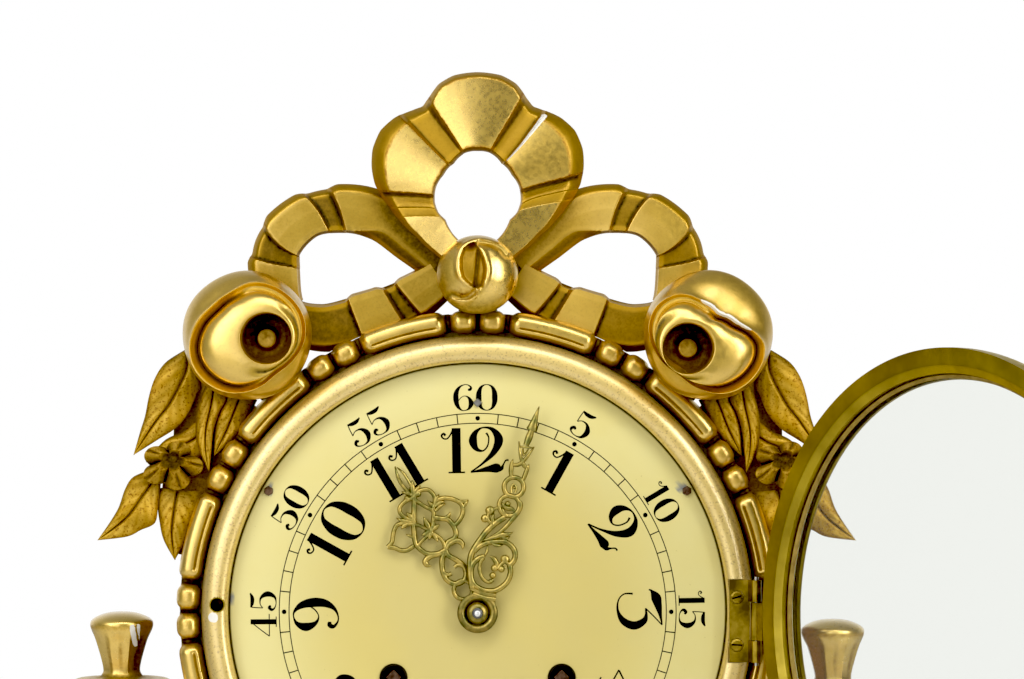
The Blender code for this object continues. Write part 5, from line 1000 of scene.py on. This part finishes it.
def arc_leaf(clock0, rise0, clock1, rise1, half, bend=0.0):
    """Midrib and edges of a leaf that runs from one clock angle and height over the beads to another."""
    t = np.linspace(0, 1, 9)
    a, r = clock0 + (clock1 - clock0) * t, BEAD_OUT + rise0 + (rise1 - rise0) * t + bend * np.sin(pi * t)
    mid = np.stack([r * np.sin(a), r * np.cos(a)], -1)
    run = np.gradient(mid, axis=0)
    run /= np.hypot(*run.T)[:, None]
    side = np.stack([run[:, 1], -run[:, 0]], -1) * (half * np.sin(pi * (0.04 + 0.94 * t) ** 0.8) ** 0.8)[:, None]
    return mid, mid - side, mid + side


# Leaves of the left spray in photo pixels: midrib, outer edge, inner edge, depths of root and tip
SPRAY = (
    ([(186, 352), (186, 371), (170, 403), (155.5, 422), (134, 455)],
     [(184, 350), (165.7, 362), (155.5, 376.7), (149.4, 395), (145.3, 415.5), (141, 430), (134, 455)],
     [(190, 352), (200, 383), (196, 395), (188, 413.5), (176, 428), (157.6, 440), (134, 455)], 78.5, 82.5, 7),
    ([(214, 386), (211, 405), (206, 430), (206, 452), (209.6, 472)],
     [(206, 384), (200, 399), (196, 417.5), (196, 436), (200, 452), (206.5, 466), (209.6, 472)],
     [(223, 391), (226, 399), (219, 413.5), (213.5, 432), (211.5, 455), (209.6, 472)], 79.0, 82.0, 6),
    ([(240, 396), (234, 412), (226, 432), (214, 456)], [(227, 394), (221, 410), (215, 430), (214, 456)],
     [(257, 400), (248, 418), (236, 438), (214, 456)], 78.5, 80.0, 5),
    ([(212, 425), (192, 440), (172, 449), (146, 462)], [(204, 412), (184, 430), (164, 441), (146, 462)],
     [(216, 442), (202, 458), (180, 470), (146, 462)], 77.6, 79.4, 4),
    ([(155, 478), (141, 498), (126, 518), (98, 540)],
     [(150, 470), (133, 477), (125, 489), (119, 507), (110.6, 521.6), (98, 540)],
     [(160, 485), (158, 505), (155, 522.7), (141, 530), (127, 536.5), (98, 540)], 79.5, 83.5, 6),
    ([(177, 490), (174, 510), (172, 533), (175, 560)],
     [(160, 488), (157.6, 505), (159.6, 521.6), (164, 540), (175, 560)],
     [(204, 492), (199, 511), (191, 530), (183, 546), (175, 560)], 79.0, 80.5, 6))


# Ground behind the leaves: clock angle and rise of its outer edge over the beads
SPRAY_GROUND = ((47.6, 28.0), (52.0, 26.5), (55.4, 23.5), (58.5, 20.5), (61.5, 17.0), (64.5, 14.5), (68.0, 14.5),
                (71.0, 12.0), (74.0, 8.5), (77.0, 4.8), (79.4, 1.8))


def spray_grids(mirror, carve):
    """Leaf spray: leaves and a flower on a ground that runs along the beads from the rose downwards."""
    out = []
    for mid, left, right, root, tip, veins in SPRAY:
        level = 0.5 * (root + tip)
        edges = [seen(*np.array(k).T, level) for k in (mid, left, right)]
        out.append(leaf_grid(*edges, root, tip, carve, mirror, veins=veins))
    fx, fz = seen(172, 466, 82)
    out.append(flower_grid(mirror * fx, fz, 76.0, 11.4, 10.5, carve, 5, 0.35, 0.8, 0.2))
    clock, rise = flow(SPRAY_GROUND, 120).T
    reach, f = np.array([(-1.6, 74), (1, 74), (1, 76.5), (.9, 78.0), (.5, 78.6), (-1.6, 78.4)]).T
    r = BEAD_OUT + np.where(reach < 0, reach, reach * rise[:, None])
    a = np.radians(clock)[:, None]
    # Dust and painted shade: the ground behind the leaves is darkened evenly.
    out.append(patch(place(-mirror * r * np.sin(a), f + 0 * a, r * np.cos(a)), False, True, True, grime=0.55, bole=0.3))
    out.append(peg(ray(-mirror * radians(56), TENON_R, 118, 6), 6, TENON_F, 10))
    return out


# Shapes: urns, brackets and apron
URN_PROFILE = ((0.01, 0.0), (4.5, .35), (8.2, 1.4), (10.8, 2.9), (11.6, 4.6), (10.9, 7.6), (9.4, 12), (7.9, 17),
               (7.1, 20.6), (7.2, 22.8), (8.4, 24.1), (12.5, 24.5), (17.0, 24.9), (19.3, 27.2), (20.0, 31.0),
               (19.9, 36),
               (18.6, 44.0), (15.9, 52), (12.5, 60.0), (8.4, 68.5), (5.6, 74.2), (7.4, 76.4), (7.6, 78), (6.4, 80.2),
               (8.6, 83), (12.6, 85.9), (13.6, 88), (13.6, 91.0), (0.01, 91.0))


def urn_grid(x, top):
    """Covered urn: a turned profile; the neck is cut to eight soft facets and the belly to twelve round gadroons."""
    r, h = np.concatenate([flow(URN_PROFILE[:-1], 170), [(13.6, 91), (9, 91), (0.01, 91)]]).T
    a = circle(240)
    neck = ease(h, 6, 11) * (1 - ease(h, 21, 23.5))
    belly = ease(h, 30, 36) * (1 - ease(h, 60, 70))
    eight = np.cos(pi / 8) / np.cos((a + pi / 8) % (pi / 4) - pi / 8)
    twelve = np.abs(np.cos(6 * a))
    r = r * (1 + 0.85 * neck * (eight - 1) + belly * 0.06 * (twelve ** 0.5 - 1))
    # Dust and painted shade: darker in the gadroons' valleys, at the neck and stem rings and towards the foot.
    dirt = np.clip(belly * (1 - twelve) ** 3 + 0.6 * hump(h - 23.6, 1.0) + 0.6 * hump(h - 75, 1.6)
                   + 0.35 * ease(h, 80, 90), 0, 0.9)
    side = np.sin(a) * r
    chip = (x < 0) * (1.2 * np.exp(-((side - 5.8) / (2.6 - 0.13 * h)) ** 4 - ((h - 8.2) / 4.2) ** 4)
                      * (np.abs(side - 5.6 - 0.1 * h) > 0.35)) * (np.cos(a) > 0)
    # Painted shade on the neck facets turned to the right, stronger on the left urn, partly in red-brown.
    shade = neck * ease(np.sin(a), 0.45, 0.75) * (np.cos(a) > -0.3) * (0.5 if x < 0 else 0.1)
    streak = neck * np.clip(np.sin(9 * a + 0.6 * np.sin(0.5 * h)) + np.sin(14 * a + 1.7), 0, 1.4) * 0.22
    dirt = np.clip(dirt + shade + 0.5 * streak, 0, 0.9)
    grid = place(x + r * np.sin(a), URN_F + r * np.cos(a), top - h + 0 * a)
    return patch(grid, True, False, grime=dirt, shine=0.85 * (1 - dirt),
                 bole=np.clip(0.5 * hump(h - 5.4, 0.7) + shade + streak, 0, 1),
                 chalk=chip)


SCROLL = ((89.0, -54.6, 4.6), (95.0, -73.0, 4.8), (107.0, -97.0, 5.0), (127.0, -109.0, 5.2), (142.0, -115.0, 5.0),
          (147.0, -127.0, 4.4), (139.0, -136.0, 3.8), (129.0, -131.5, 3.2), (130.5, -123.0, 2.8))


def bracket_grids(side, drop, carve):
    """Urn bracket: a scroll with a fluted front carried along its curve, and a turned cup under the urn's foot."""
    n = 220
    x, z, half = flow(SCROLL, n).T
    t = np.linspace(0, 1, n)
    z = z - drop * np.minimum(1, 2.4 * t)
    phi = np.arange(36) * tau / 36
    across = np.sign(np.sin(phi)) * np.abs(np.sin(phi)) ** 0.55
    out = np.sign(np.cos(phi)) * np.abs(np.cos(phi)) ** 0.6
    flute = np.where(out > 0.6, 0.09 * np.cos(across * pi * 2.5) ** 2, 0) * carve
    path = np.stack([side * x, z], -1)
    grid = sweep(path, np.stack([across, out - flute], -1), half, URN_F, 8.6)
    # Dust and painted shade: darker all over, in the flutes and over the back half that faces the wall.
    dirt = np.clip(0.25 + 5 * flute + 0.6 * (out < -0.2), 0, .9)
    cup = upright(soften([(0.01, 0), (14.4, 0), (14.4, -2.4), (10.6, -5), (8, -15), (8, -17), (0.01, -17)], 2)
                  + (0, -93.0 - drop), 96, side * URN_X, URN_F)
    return [patch(grid, False, True, True, grime=dirt, shine=0.5), patch(cup, True, True, grime=0.3, shine=0.6)]


def apron_grids(carve):
    """Apron: two festoons of leaves, two small leaves and a long husk leaf that ends in a berry."""
    out = []
    for side in (-1, 1):
        for c0, r0, c1, r1, half in ((126, 6.0, 152, 9.0, 6.4), (148, 8.0, 178.6, 13.0, 7.4)):
            out.append(leaf_grid(*arc_leaf(side * radians(c0), r0, side * radians(c1), r1, half), 79.4, 80.0, carve, 1,
                                 thick=6, veins=9))
        out.append(leaf_grid(*arc_leaf(side * radians(178.4), 25, side * radians(170), 62, 5.6), 79, 79, carve, 1,
                             thick=6))
        out.append(peg(ray(side * radians(150), TENON_R, 117.3, 6), 6, TENON_F, 10))
    out.append(leaf_grid(*arc_leaf(pi, 9, pi, 82, 9.0), 77.5, 80, carve, 1, thick=6, veins=12))
    t = np.linspace(0, pi, 24)
    berry = np.stack([np.maximum(5.2 * np.sin(t), 0.01), -BEAD_OUT - 86 + 7 * np.cos(t)], -1)
    out.append(patch(upright(berry, 48, 0, 78), True, False, grime=0.25, shine=0.6))
    out.append(peg(ray(0, -TENON_R, -125, 6), 8, TENON_F, 10))
    return out


# Shapes: glazed door and hinge


def on_door(grid):
    """A grid modelled with the door shut, swung open about the hinge's upright axis."""
    p = grid / MM - (HINGE_X, -HINGE_F, 0)
    c, s = cos(DOOR_OPEN), sin(DOOR_OPEN)
    return np.stack([HINGE_X + p[..., 0] * c - p[..., 1] * s, -HINGE_F + p[..., 0] * s + p[..., 1] * c, p[..., 2]],
                    -1) * MM


# Operators


class PieceOperator:
    """Shared by the operators below: the finish settings and the stock of materials."""
    bl_options = {"REGISTER", "UNDO"}

    def execute(self, context):
        self.build(context.scene.clock_finish, finishes())
        return {"FINISHED"}


def repaint(material, *nodes):
    """Solids that keep their shape get their finish."""
    for name in nodes:
        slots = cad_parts[name].data.materials
        slots.clear()
        slots.append(material)


class CLOCK_OT_ring(PieceOperator, bpy.types.Operator):
    """Gilt ring, bead moulding, latch bush and the drum behind them"""
    bl_idname = "clock.ring"
    bl_label = "Ring and drum"

    def build(self, look, stock):
        piece("front_ring_gilt", [band_grid()], stock["matt_band_gilding"], nodes=("front_ring",))
        piece("bead_and_reel", [bead_grid()], stock["water_gilding"], nodes=("bead_moulding",))
        bush = soften([(2.15, 84.6), (3.0, 84.6), (3.0, 94.15), (2.15, 94.15)], 2)
        # Dust and painted shade: darker deeper in the bore than at its mouth.
        dirt = np.clip((93.6 - bush[:, 1]) / 1.5, 0, 1)
        piece("latch_bush_brass", [patch(lathe(bush, 48, LATCH_X, LATCH_Z), True, True, grime=dirt)],
              stock["aged_brass_bezel"], nodes=("latch_bush",))
        drum = soften(np.repeat([(86, 9.3), (DRUM_R, 9.3), (DRUM_R, 78), (86, 78)], 2, 0), 2)
        piece("drum_wall", [patch(lathe(drum, 180), True, True)], stock["coopered_pine"], nodes=("case_drum",))
        repaint(stock["aged_pine"], "backboard")
        repaint(stock["clock_steel"], "hanger_plate")


class CLOCK_OT_dial(PieceOperator, bpy.types.Operator):
    """Painted dial with its figures, minute track, winding eyelets and nails"""
    bl_idname = "clock.dial"
    bl_label = "Dial"

    def build(self, look, stock):
        piece("painted_dial", [dial_grid()], stock["cream_oil_paint"], nodes=("dial",),
              sheet=0.8)
        hours = [(h, h * tau / 12) for h in range(1, 13)]
        figures = [p for h, a in hours for p in numeral(str(h), a - HOUR_TURN, HOUR_FOOT, HOUR_TALL, 1.06)]
        figures += [p for h, a in hours for p in numeral(str(5 * h), a - MINUTE_TURN, MINUTE_FOOT, MINUTE_TALL, 1.14)]
        piece("dial_figures", figures + track(), stock["black_dial_ink"], sharp=60)
        t = np.arange(20) * tau / 20
        ring = np.stack([4.35 + 0.75 * np.cos(t), 88.1 + 0.95 * np.sin(t)], -1)
        for tag, x in (("left", -WIND_X), ("right", WIND_X)):
            piece("eyelet_" + tag, [patch(lathe(ring, 64, x, WIND_Z), True, True)], stock["blackened_brass"],
                  nodes=("winding_eyelet_" + tag,))
        repaint(stock["rusted_steel"], "time_winding_arbor", "strike_winding_arbor",
                *(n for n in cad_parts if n.startswith("dial_pin")))
        repaint(stock["clock_steel"], "dial_pin_top")


class CLOCK_OT_hands(PieceOperator, bpy.types.Operator):
    """Pierced cast hands and their collet"""
    bl_idname = "clock.hands"
    bl_label = "Hands"

    def build(self, look, stock):
        metal_cast = stock["cast_hand_brass"]
        low, high = HOUR_HAND_F, MINUTE_HAND_F
        limbs = [cast(p, w, low) for p, w in HOUR_LIMBS] + [cast(p, 18, low, True) for p in HOUR_HOOPS]
        limbs += [cast(p, 16, low, rise=1.05) for p in HOUR_LEAVES]
        limbs += [hoop(742, 1513, 90, 60, low), boss(380, 742, 27, low), boss(290, 776, 22, low),
                  boss(484, 1040, 24, low, 1.2)]
        eye = [(2.95, low), (6.3, low), (6.6, low + 0.5), (6.3, low + 1.0), (2.95, low + 1.0)]
        limbs.append(patch(lathe(eye, 64), True, True, grime=0.3))
        piece("hour_hand_cast", limbs, metal_cast, "hour", ("hour_hand",))
        limbs = [cast(p, w, high) for p, w in MINUTE_LIMBS] + [boss(*b, high) for b in BERRIES]
        limbs += [cast(p, 16, high, rise=1.05) for p in MINUTE_LEAVES]
        limbs += [cast(p, w, high, rise=1.35) for p, w in CLAMP]
        limbs += [hoop(1111, 834, 97, 66, high), hoop(1149, 686, 95, 62, high)]
        hub = np.array([(1.8, 0), (6.6, 0), (7.2, .3), (7.3, .6), (6.9, .95), (6.3, 1.15), (5.7, 1.25), (5.3, 1.15),
                        (4.6, .75), (4.1, .5), (3.8, .4), (1.8, .4)]) + (0, high)
        stain = np.array([.3, .5, .6, .6, .5, .45, .2, 0, 0, .05, .4, .5])
        limbs.append(patch(lathe(hub, 96), True, True, grime=stain))
        piece("minute_hand_cast", limbs, metal_cast, "minute", ("minute_hand",))
        knob = soften([(1.8, 94.5), (3.9, 94.5), (3.9, 95.0), (3.3, 95.9), (2.2, 96.4), (1.8, 96.4)], 2)
        piece("hand_collet_turned", [patch(lathe(knob, 64), True, True, grime=0.3)], metal_cast, "minute",
              ("hand_collet",))
        tip = [(0.01, 97.8), (0.75, 97.73), (1.0, 97.62), (1.15, 97.5), (1.5, 97.25), (1.55, 96.6), (1.85, 96.4),
               (1.85, 95.6),
               (0.01, 95.6)]
        stain = np.array([0, 0, .1, .8, .8, .8, .8, .8, .8])
        # The tip's pale, half-metal steel is a painted highlight.
        piece("centre_arbor_tip", [patch(lathe(tip, 40), True, grime=stain)], stock["bright_steel"], "minute")


class CLOCK_OT_crest(PieceOperator, bpy.types.Operator):
    """Ribbon crest: three pleated loops and the rosebud over their knot"""
    bl_idname = "clock.crest"
    bl_label = "Ribbon crest"

    def build(self, look, stock):
        gilt, fold = stock["water_gilding"], look.fold / MM
        path = ray(0, 103.4, 124, 8)
        seat = peg(path, 7, TENON_F, 9.9)
        rise = peg(path[3:], 7, 72, 15)
        path = np.stack([np.linspace(-18, 18, 8), np.full(8, 123.4)], -1)
        knot = peg(path, 5, 72, 9, 0.85)
        piece("ribbon_loop_centre", [centre_loop(fold), seat, rise, knot], gilt, nodes=("crest_centre_loop",))
        for tag, mirror in (("left", 1), ("right", -1)):
            seat = peg(ray(-mirror * radians(19), TENON_R, 116, 6), 6, 70.8, 7.2)
            piece("ribbon_loop_" + tag, [side_loop(mirror, fold), seat], gilt, nodes=(f"crest_{tag}_loop",))
        piece("rosebud_carved", [bud_grid(look.carving)], gilt, nodes=("crest_rosebud",),
              sharp=60)


class CLOCK_OT_roses(PieceOperator, bpy.types.Operator):
    """The two large roses and the small one under the dial"""
    bl_idname = "clock.roses"
    bl_label = "Roses"

    def build(self, look, stock):
        gilt, carve = stock["water_gilding"], look.carving
        for tag, side in (("left", -1), ("right", 1)):
            x, z = side * ROSE_REACH * sin(ROSE_CLOCK), ROSE_REACH * cos(ROSE_CLOCK)
            path = ray(side * radians(42.7), TENON_R, 122.5, 8)
            stem = peg(path, 6, TENON_F, 10)
            neck = peg(path[4:], 4.8, 72.8, 13)
            rose = rose_grid(x, z, ROSE_F, ROSE_R, 25, -side * 7.8, -1.0 if side < 0 else -4.6, carve, -side,
                             0.0 if side < 0 else 1.0)
            piece("rose_carved_" + tag, [rose, stem, neck], gilt, nodes=("rose_" + tag,),
                  sharp=60)
        small = rose_grid(0, -BEAD_OUT - 1.03 * SMALL_ROSE_R, 82.4, SMALL_ROSE_R, 18, 0, 0, carve)
        piece("rose_carved_small", [small], gilt, nodes=("apron_rose",), sharp=60)


class CLOCK_OT_sprays(PieceOperator, bpy.types.Operator):
    """Leaf sprays below the roses"""
    bl_idname = "clock.sprays"
    bl_label = "Leaf sprays"

    def build(self, look, stock):
        for tag, mirror in (("left", 1), ("right", -1)):
            piece("spray_carved_" + tag, spray_grids(mirror, look.carving), stock["oil_gilding"],
                  nodes=("leaf_spray_" + tag,), sharp=55)


class CLOCK_OT_urns(PieceOperator, bpy.types.Operator):
    """Covered urns and the scrolled brackets that carry them"""
    bl_idname = "clock.urns"
    bl_label = "Urns and brackets"

    def build(self, look, stock):
        for tag, side, drop in (("left", -1, 0.0), ("right", 1, 2.7)):
            piece("urn_turned_" + tag, [urn_grid(side * URN_X, -1.7 - drop)], stock["water_gilding"],
                  nodes=("urn_" + tag,))
            piece("bracket_scroll_" + tag, bracket_grids(side, drop, look.carving), stock["water_gilding"],
                  nodes=("urn_bracket_" + tag,))


class CLOCK_OT_apron(PieceOperator, bpy.types.Operator):
    """Leaf festoons and husk drop below the dial"""
    bl_idname = "clock.apron"
    bl_label = "Apron"

    def build(self, look, stock):
        piece("apron_carved", apron_grids(look.carving), stock["oil_gilding"], nodes=("apron",),
              sharp=55)


class CLOCK_OT_door(PieceOperator, bpy.types.Operator):
    """Glazed brass door on its hinge"""
    bl_idname = "clock.door"
    bl_label = "Glazed door"

    def build(self, look, stock):
        brass = stock["aged_brass_bezel"]
        d = BEZEL_F + BEZEL_DEPTH
        rim = soften([(BEZEL_R, BEZEL_F), (BEZEL_R, BEZEL_F), (BEZEL_R - 6.0, BEZEL_F), (BEZEL_R - 6.0, BEZEL_F + .1),
                      (WALL_R, BEZEL_F + 1.6), (WALL_R, BEZEL_F + 1.7), (WALL_R, LIP_F), (WALL_R, LIP_F),
                      (SIGHT_R, LIP_F),
                      (SIGHT_R, LIP_F), (SIGHT_R, LIP_F + 1.8), (WALL_R + 0.5, d), (BEZEL_R - 4, d - 0.4),
                      (BEZEL_R - 1, BEZEL_F + 0.74 * BEZEL_DEPTH), (BEZEL_R, BEZEL_F + 0.42 * BEZEL_DEPTH)], 2)
        # The step and the inner wall are painted a little darker.
        step = hump(rim[:, 0] - BEZEL_R + 6.0, 0.4) * (rim[:, 1] < BEZEL_F + 1.5)
        step = step + ease(rim[:, 1], BEZEL_F + 2.5, BEZEL_F + 4) * (rim[:, 0] < WALL_R + 0.2)
        piece("bezel_spun", [patch(on_door(lathe(rim, 360)), True, True, grime=0.2 * step)], brass, "door", ("bezel",))
        r = np.linspace(0, 1, 28)
        front = np.stack([GLASS_R * np.maximum(r, 1e-4), LIP_F - 0.3 + 4.0 * (1 - r ** 2)], -1)
        glass = np.concatenate([front, front[::-1] - (0, GLASS_T)])
        piece("bezel_glass_pane", [patch(on_door(lathe(glass, 240)), True, True)], stock["old_clock_glass"], "door",
              ("glass",))
        putty = [(86.7, 99.6), (86.7, 98.3), (85.9, 98.5), (85.1, 99.6)]
        piece("putty_bead", [patch(on_door(lathe(soften(putty, 1), 240)), True, True)], stock["glazing_putty"], "door",
              ("glazing_putty",))
        repaint(stock["hinge_brass"], "hinge_case_leaf", "hinge_door_leaf", "hinge_screw_lower", "hinge_screw_upper")
        for name, lean in (("hinge_screw_lower", 1.65), ("hinge_screw_upper", 1.25)):
            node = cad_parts[name]
            corners = np.array([node.matrix_world @ v.co for v in node.data.vertices]) / MM
            x, z, f = corners[:, 0].mean(), corners[:, 2].mean(), -corners[:, 1].min()
            way = np.array([[sin(lean), cos(lean)]]) * np.linspace(-1.9, 1.9, 5)[:, None] + (x, z)
            # Painted shade: a near-black strip on each screw head stands in for its groove's shadow.
            groove_shade = sweep(way, [(-1, -1), (-1, 1), (1, 1), (1, -1)], 0.28, f, 0.03)
            piece(name.replace("screw", "groove_shade"), [patch(groove_shade, False, True, True)], stock["blackened_brass"])
        repaint(stock["clock_steel"], "hinge_pin", "latch_stud")


class CLOCK_OT_movement(PieceOperator, bpy.types.Operator):
    """Finishes of the movement, bell and pendulum"""
    bl_idname = "clock.movement"
    bl_label = "Movement"

    def build(self, look, stock):
        repaint(stock["plate_brass"], "back_plate", "front_plate", "time_barrel", "strike_barrel", "centre_wheel",
                "intermediate_wheel", "third_wheel", "escape_wheel", "minute_wheel", "hour_wheel", "strike_pin_wheel",
                "pendulum_bob", "bell")
        repaint(stock["clock_steel"], "anchor", "cannon_pinion", "hammer", "pendulum_rod")


class CLOCK_OT_stage(bpy.types.Operator):
    """Pale floor, soft boxes, white room and the camera"""
    bl_idname = "clock.stage"
    bl_label = "Stage"

    def execute(self, context):
        scene, stage = context.scene, context.scene.clock_stage
        scene.view_settings.view_transform = "Standard"
        scene.view_settings.use_curve_mapping = True
        scene.view_settings.curve_mapping.black_level = (0.028, 0.028, 0.028)
        world = bpy.data.worlds.new("studio")
        scene.world = world
        world.use_nodes = True
        tree = world.node_tree
        tree.nodes.clear()
        node = partial(add, tree)
        clear = node("most", node("camera_ray"), node("glass_ray"))
        right, back, up = (node(k, node("ray")) for k in "xyz")
        lit = node("times", node("range", up, -0.6, 0.7, 0.25, 1.0), node("range", right, -0.5, 0.9, 1.0, 0.4))
        behind = node("times", node("range", back, 0.05, 0.8, 0.0, stage.wall), node("range", up, 0.3, 0.8, 1.0, 0.1))
        level = node("plus", node("times", lit, stage.room), behind)
        room, white = node("glow", (0.95, 0.97, 1.0, 1), level), node("glow", (1, 1, 1, 1), 1.0)
        node("sky", node("either", clear, room, white))
        node, at = blank("pale_floor")
        tint = node("mix", node("noise", at, 1000 / 300), linear("#EFEDE8"), linear("#E6E4DF"))
        node("surface", node("shader", Base_Color=tint, Roughness=0.7))
        mesh = bpy.data.meshes.new("floor")
        mesh.from_pydata([(x, y, FLOOR_Z) for x, y in ((-4, -4), (4, -4), (4, 4), (-4, 4))], [], [(0, 1, 2, 3)])
        mesh.materials.append(bpy.data.materials["pale_floor"])
        floor = bpy.data.objects.new("floor", mesh)
        scene.collection.objects.link(floor)
        for name, power, wide, tall, spot, aim in (
                ("key_box", stage.key, 0.8, 1.4, (-1.15, -1.35, 0.8), (0, -.08, .05)),
                ("front_box", stage.front, 1.6, 1.8, (-1.0, -2.3, 0.5), (0, -.08, .08)),
                ("fill_box", stage.fill, 0.7, 1.4, (1.35, -1.35, 0.5), (0, -.08, .05)),
                ("top_box", stage.top, 1.6, 0.7, (0.1, -1.3, 1.5), (0, -.08, .05))):
            light = bpy.data.lights.new(name, "AREA")
            light.shape, light.size, light.size_y, light.energy = "RECTANGLE", wide, tall, power
            ob = bpy.data.objects.new(name, light)
            ob.location = spot
            ob.rotation_euler = (ob.location - Vector(aim)).to_track_quat("Z", "Y").to_euler()
            scene.collection.objects.link(ob)
        camera = bpy.data.cameras.new("photo_camera")
        camera.lens, camera.sensor_width = stage.lens, 36
        ob = bpy.data.objects.new("photo_camera", camera)
        ob.location = place(EYE_X, BAND_F + EYE_DIST, EYE_Z).tolist()
        ob.rotation_euler = (pi / 2, 0, 0)
        scene.collection.objects.link(ob)
        scene.camera = ob
        return {"FINISHED"}


OPERATORS = (CLOCK_OT_ring, CLOCK_OT_dial, CLOCK_OT_hands, CLOCK_OT_crest, CLOCK_OT_roses, CLOCK_OT_sprays,
             CLOCK_OT_urns, CLOCK_OT_apron, CLOCK_OT_door, CLOCK_OT_movement, CLOCK_OT_stage)


class CLOCK_PT_panel(bpy.types.Panel):
    """Every step of the clock, with its settings"""
    bl_idname = "CLOCK_PT_panel"
    bl_label = "Giltwood clock"
    bl_space_type, bl_region_type, bl_category = "VIEW_3D", "UI", "Clock"

    def draw(self, context):
        for group in (context.scene.clock_finish, context.scene.clock_stage):
            for key in group.__annotations__:
                self.layout.prop(group, key)
        for operator in OPERATORS:
            self.layout.operator(operator.bl_idname)


CLASSES = (ClockFinish, ClockStage, *OPERATORS, CLOCK_PT_panel)


def register():
    for cls in CLASSES:
        bpy.utils.register_class(cls)
    bpy.types.Scene.clock_finish = bpy.props.PointerProperty(type=ClockFinish)
    bpy.types.Scene.clock_stage = bpy.props.PointerProperty(type=ClockStage)


def unregister():
    del bpy.types.Scene.clock_stage, bpy.types.Scene.clock_finish
    for cls in reversed(CLASSES):
        bpy.utils.unregister_class(cls)


def main():
    register()
    for operator in OPERATORS:
        getattr(bpy.ops.clock, operator.bl_idname.split(".")[1])()


if __name__ == "__main__":
    main()
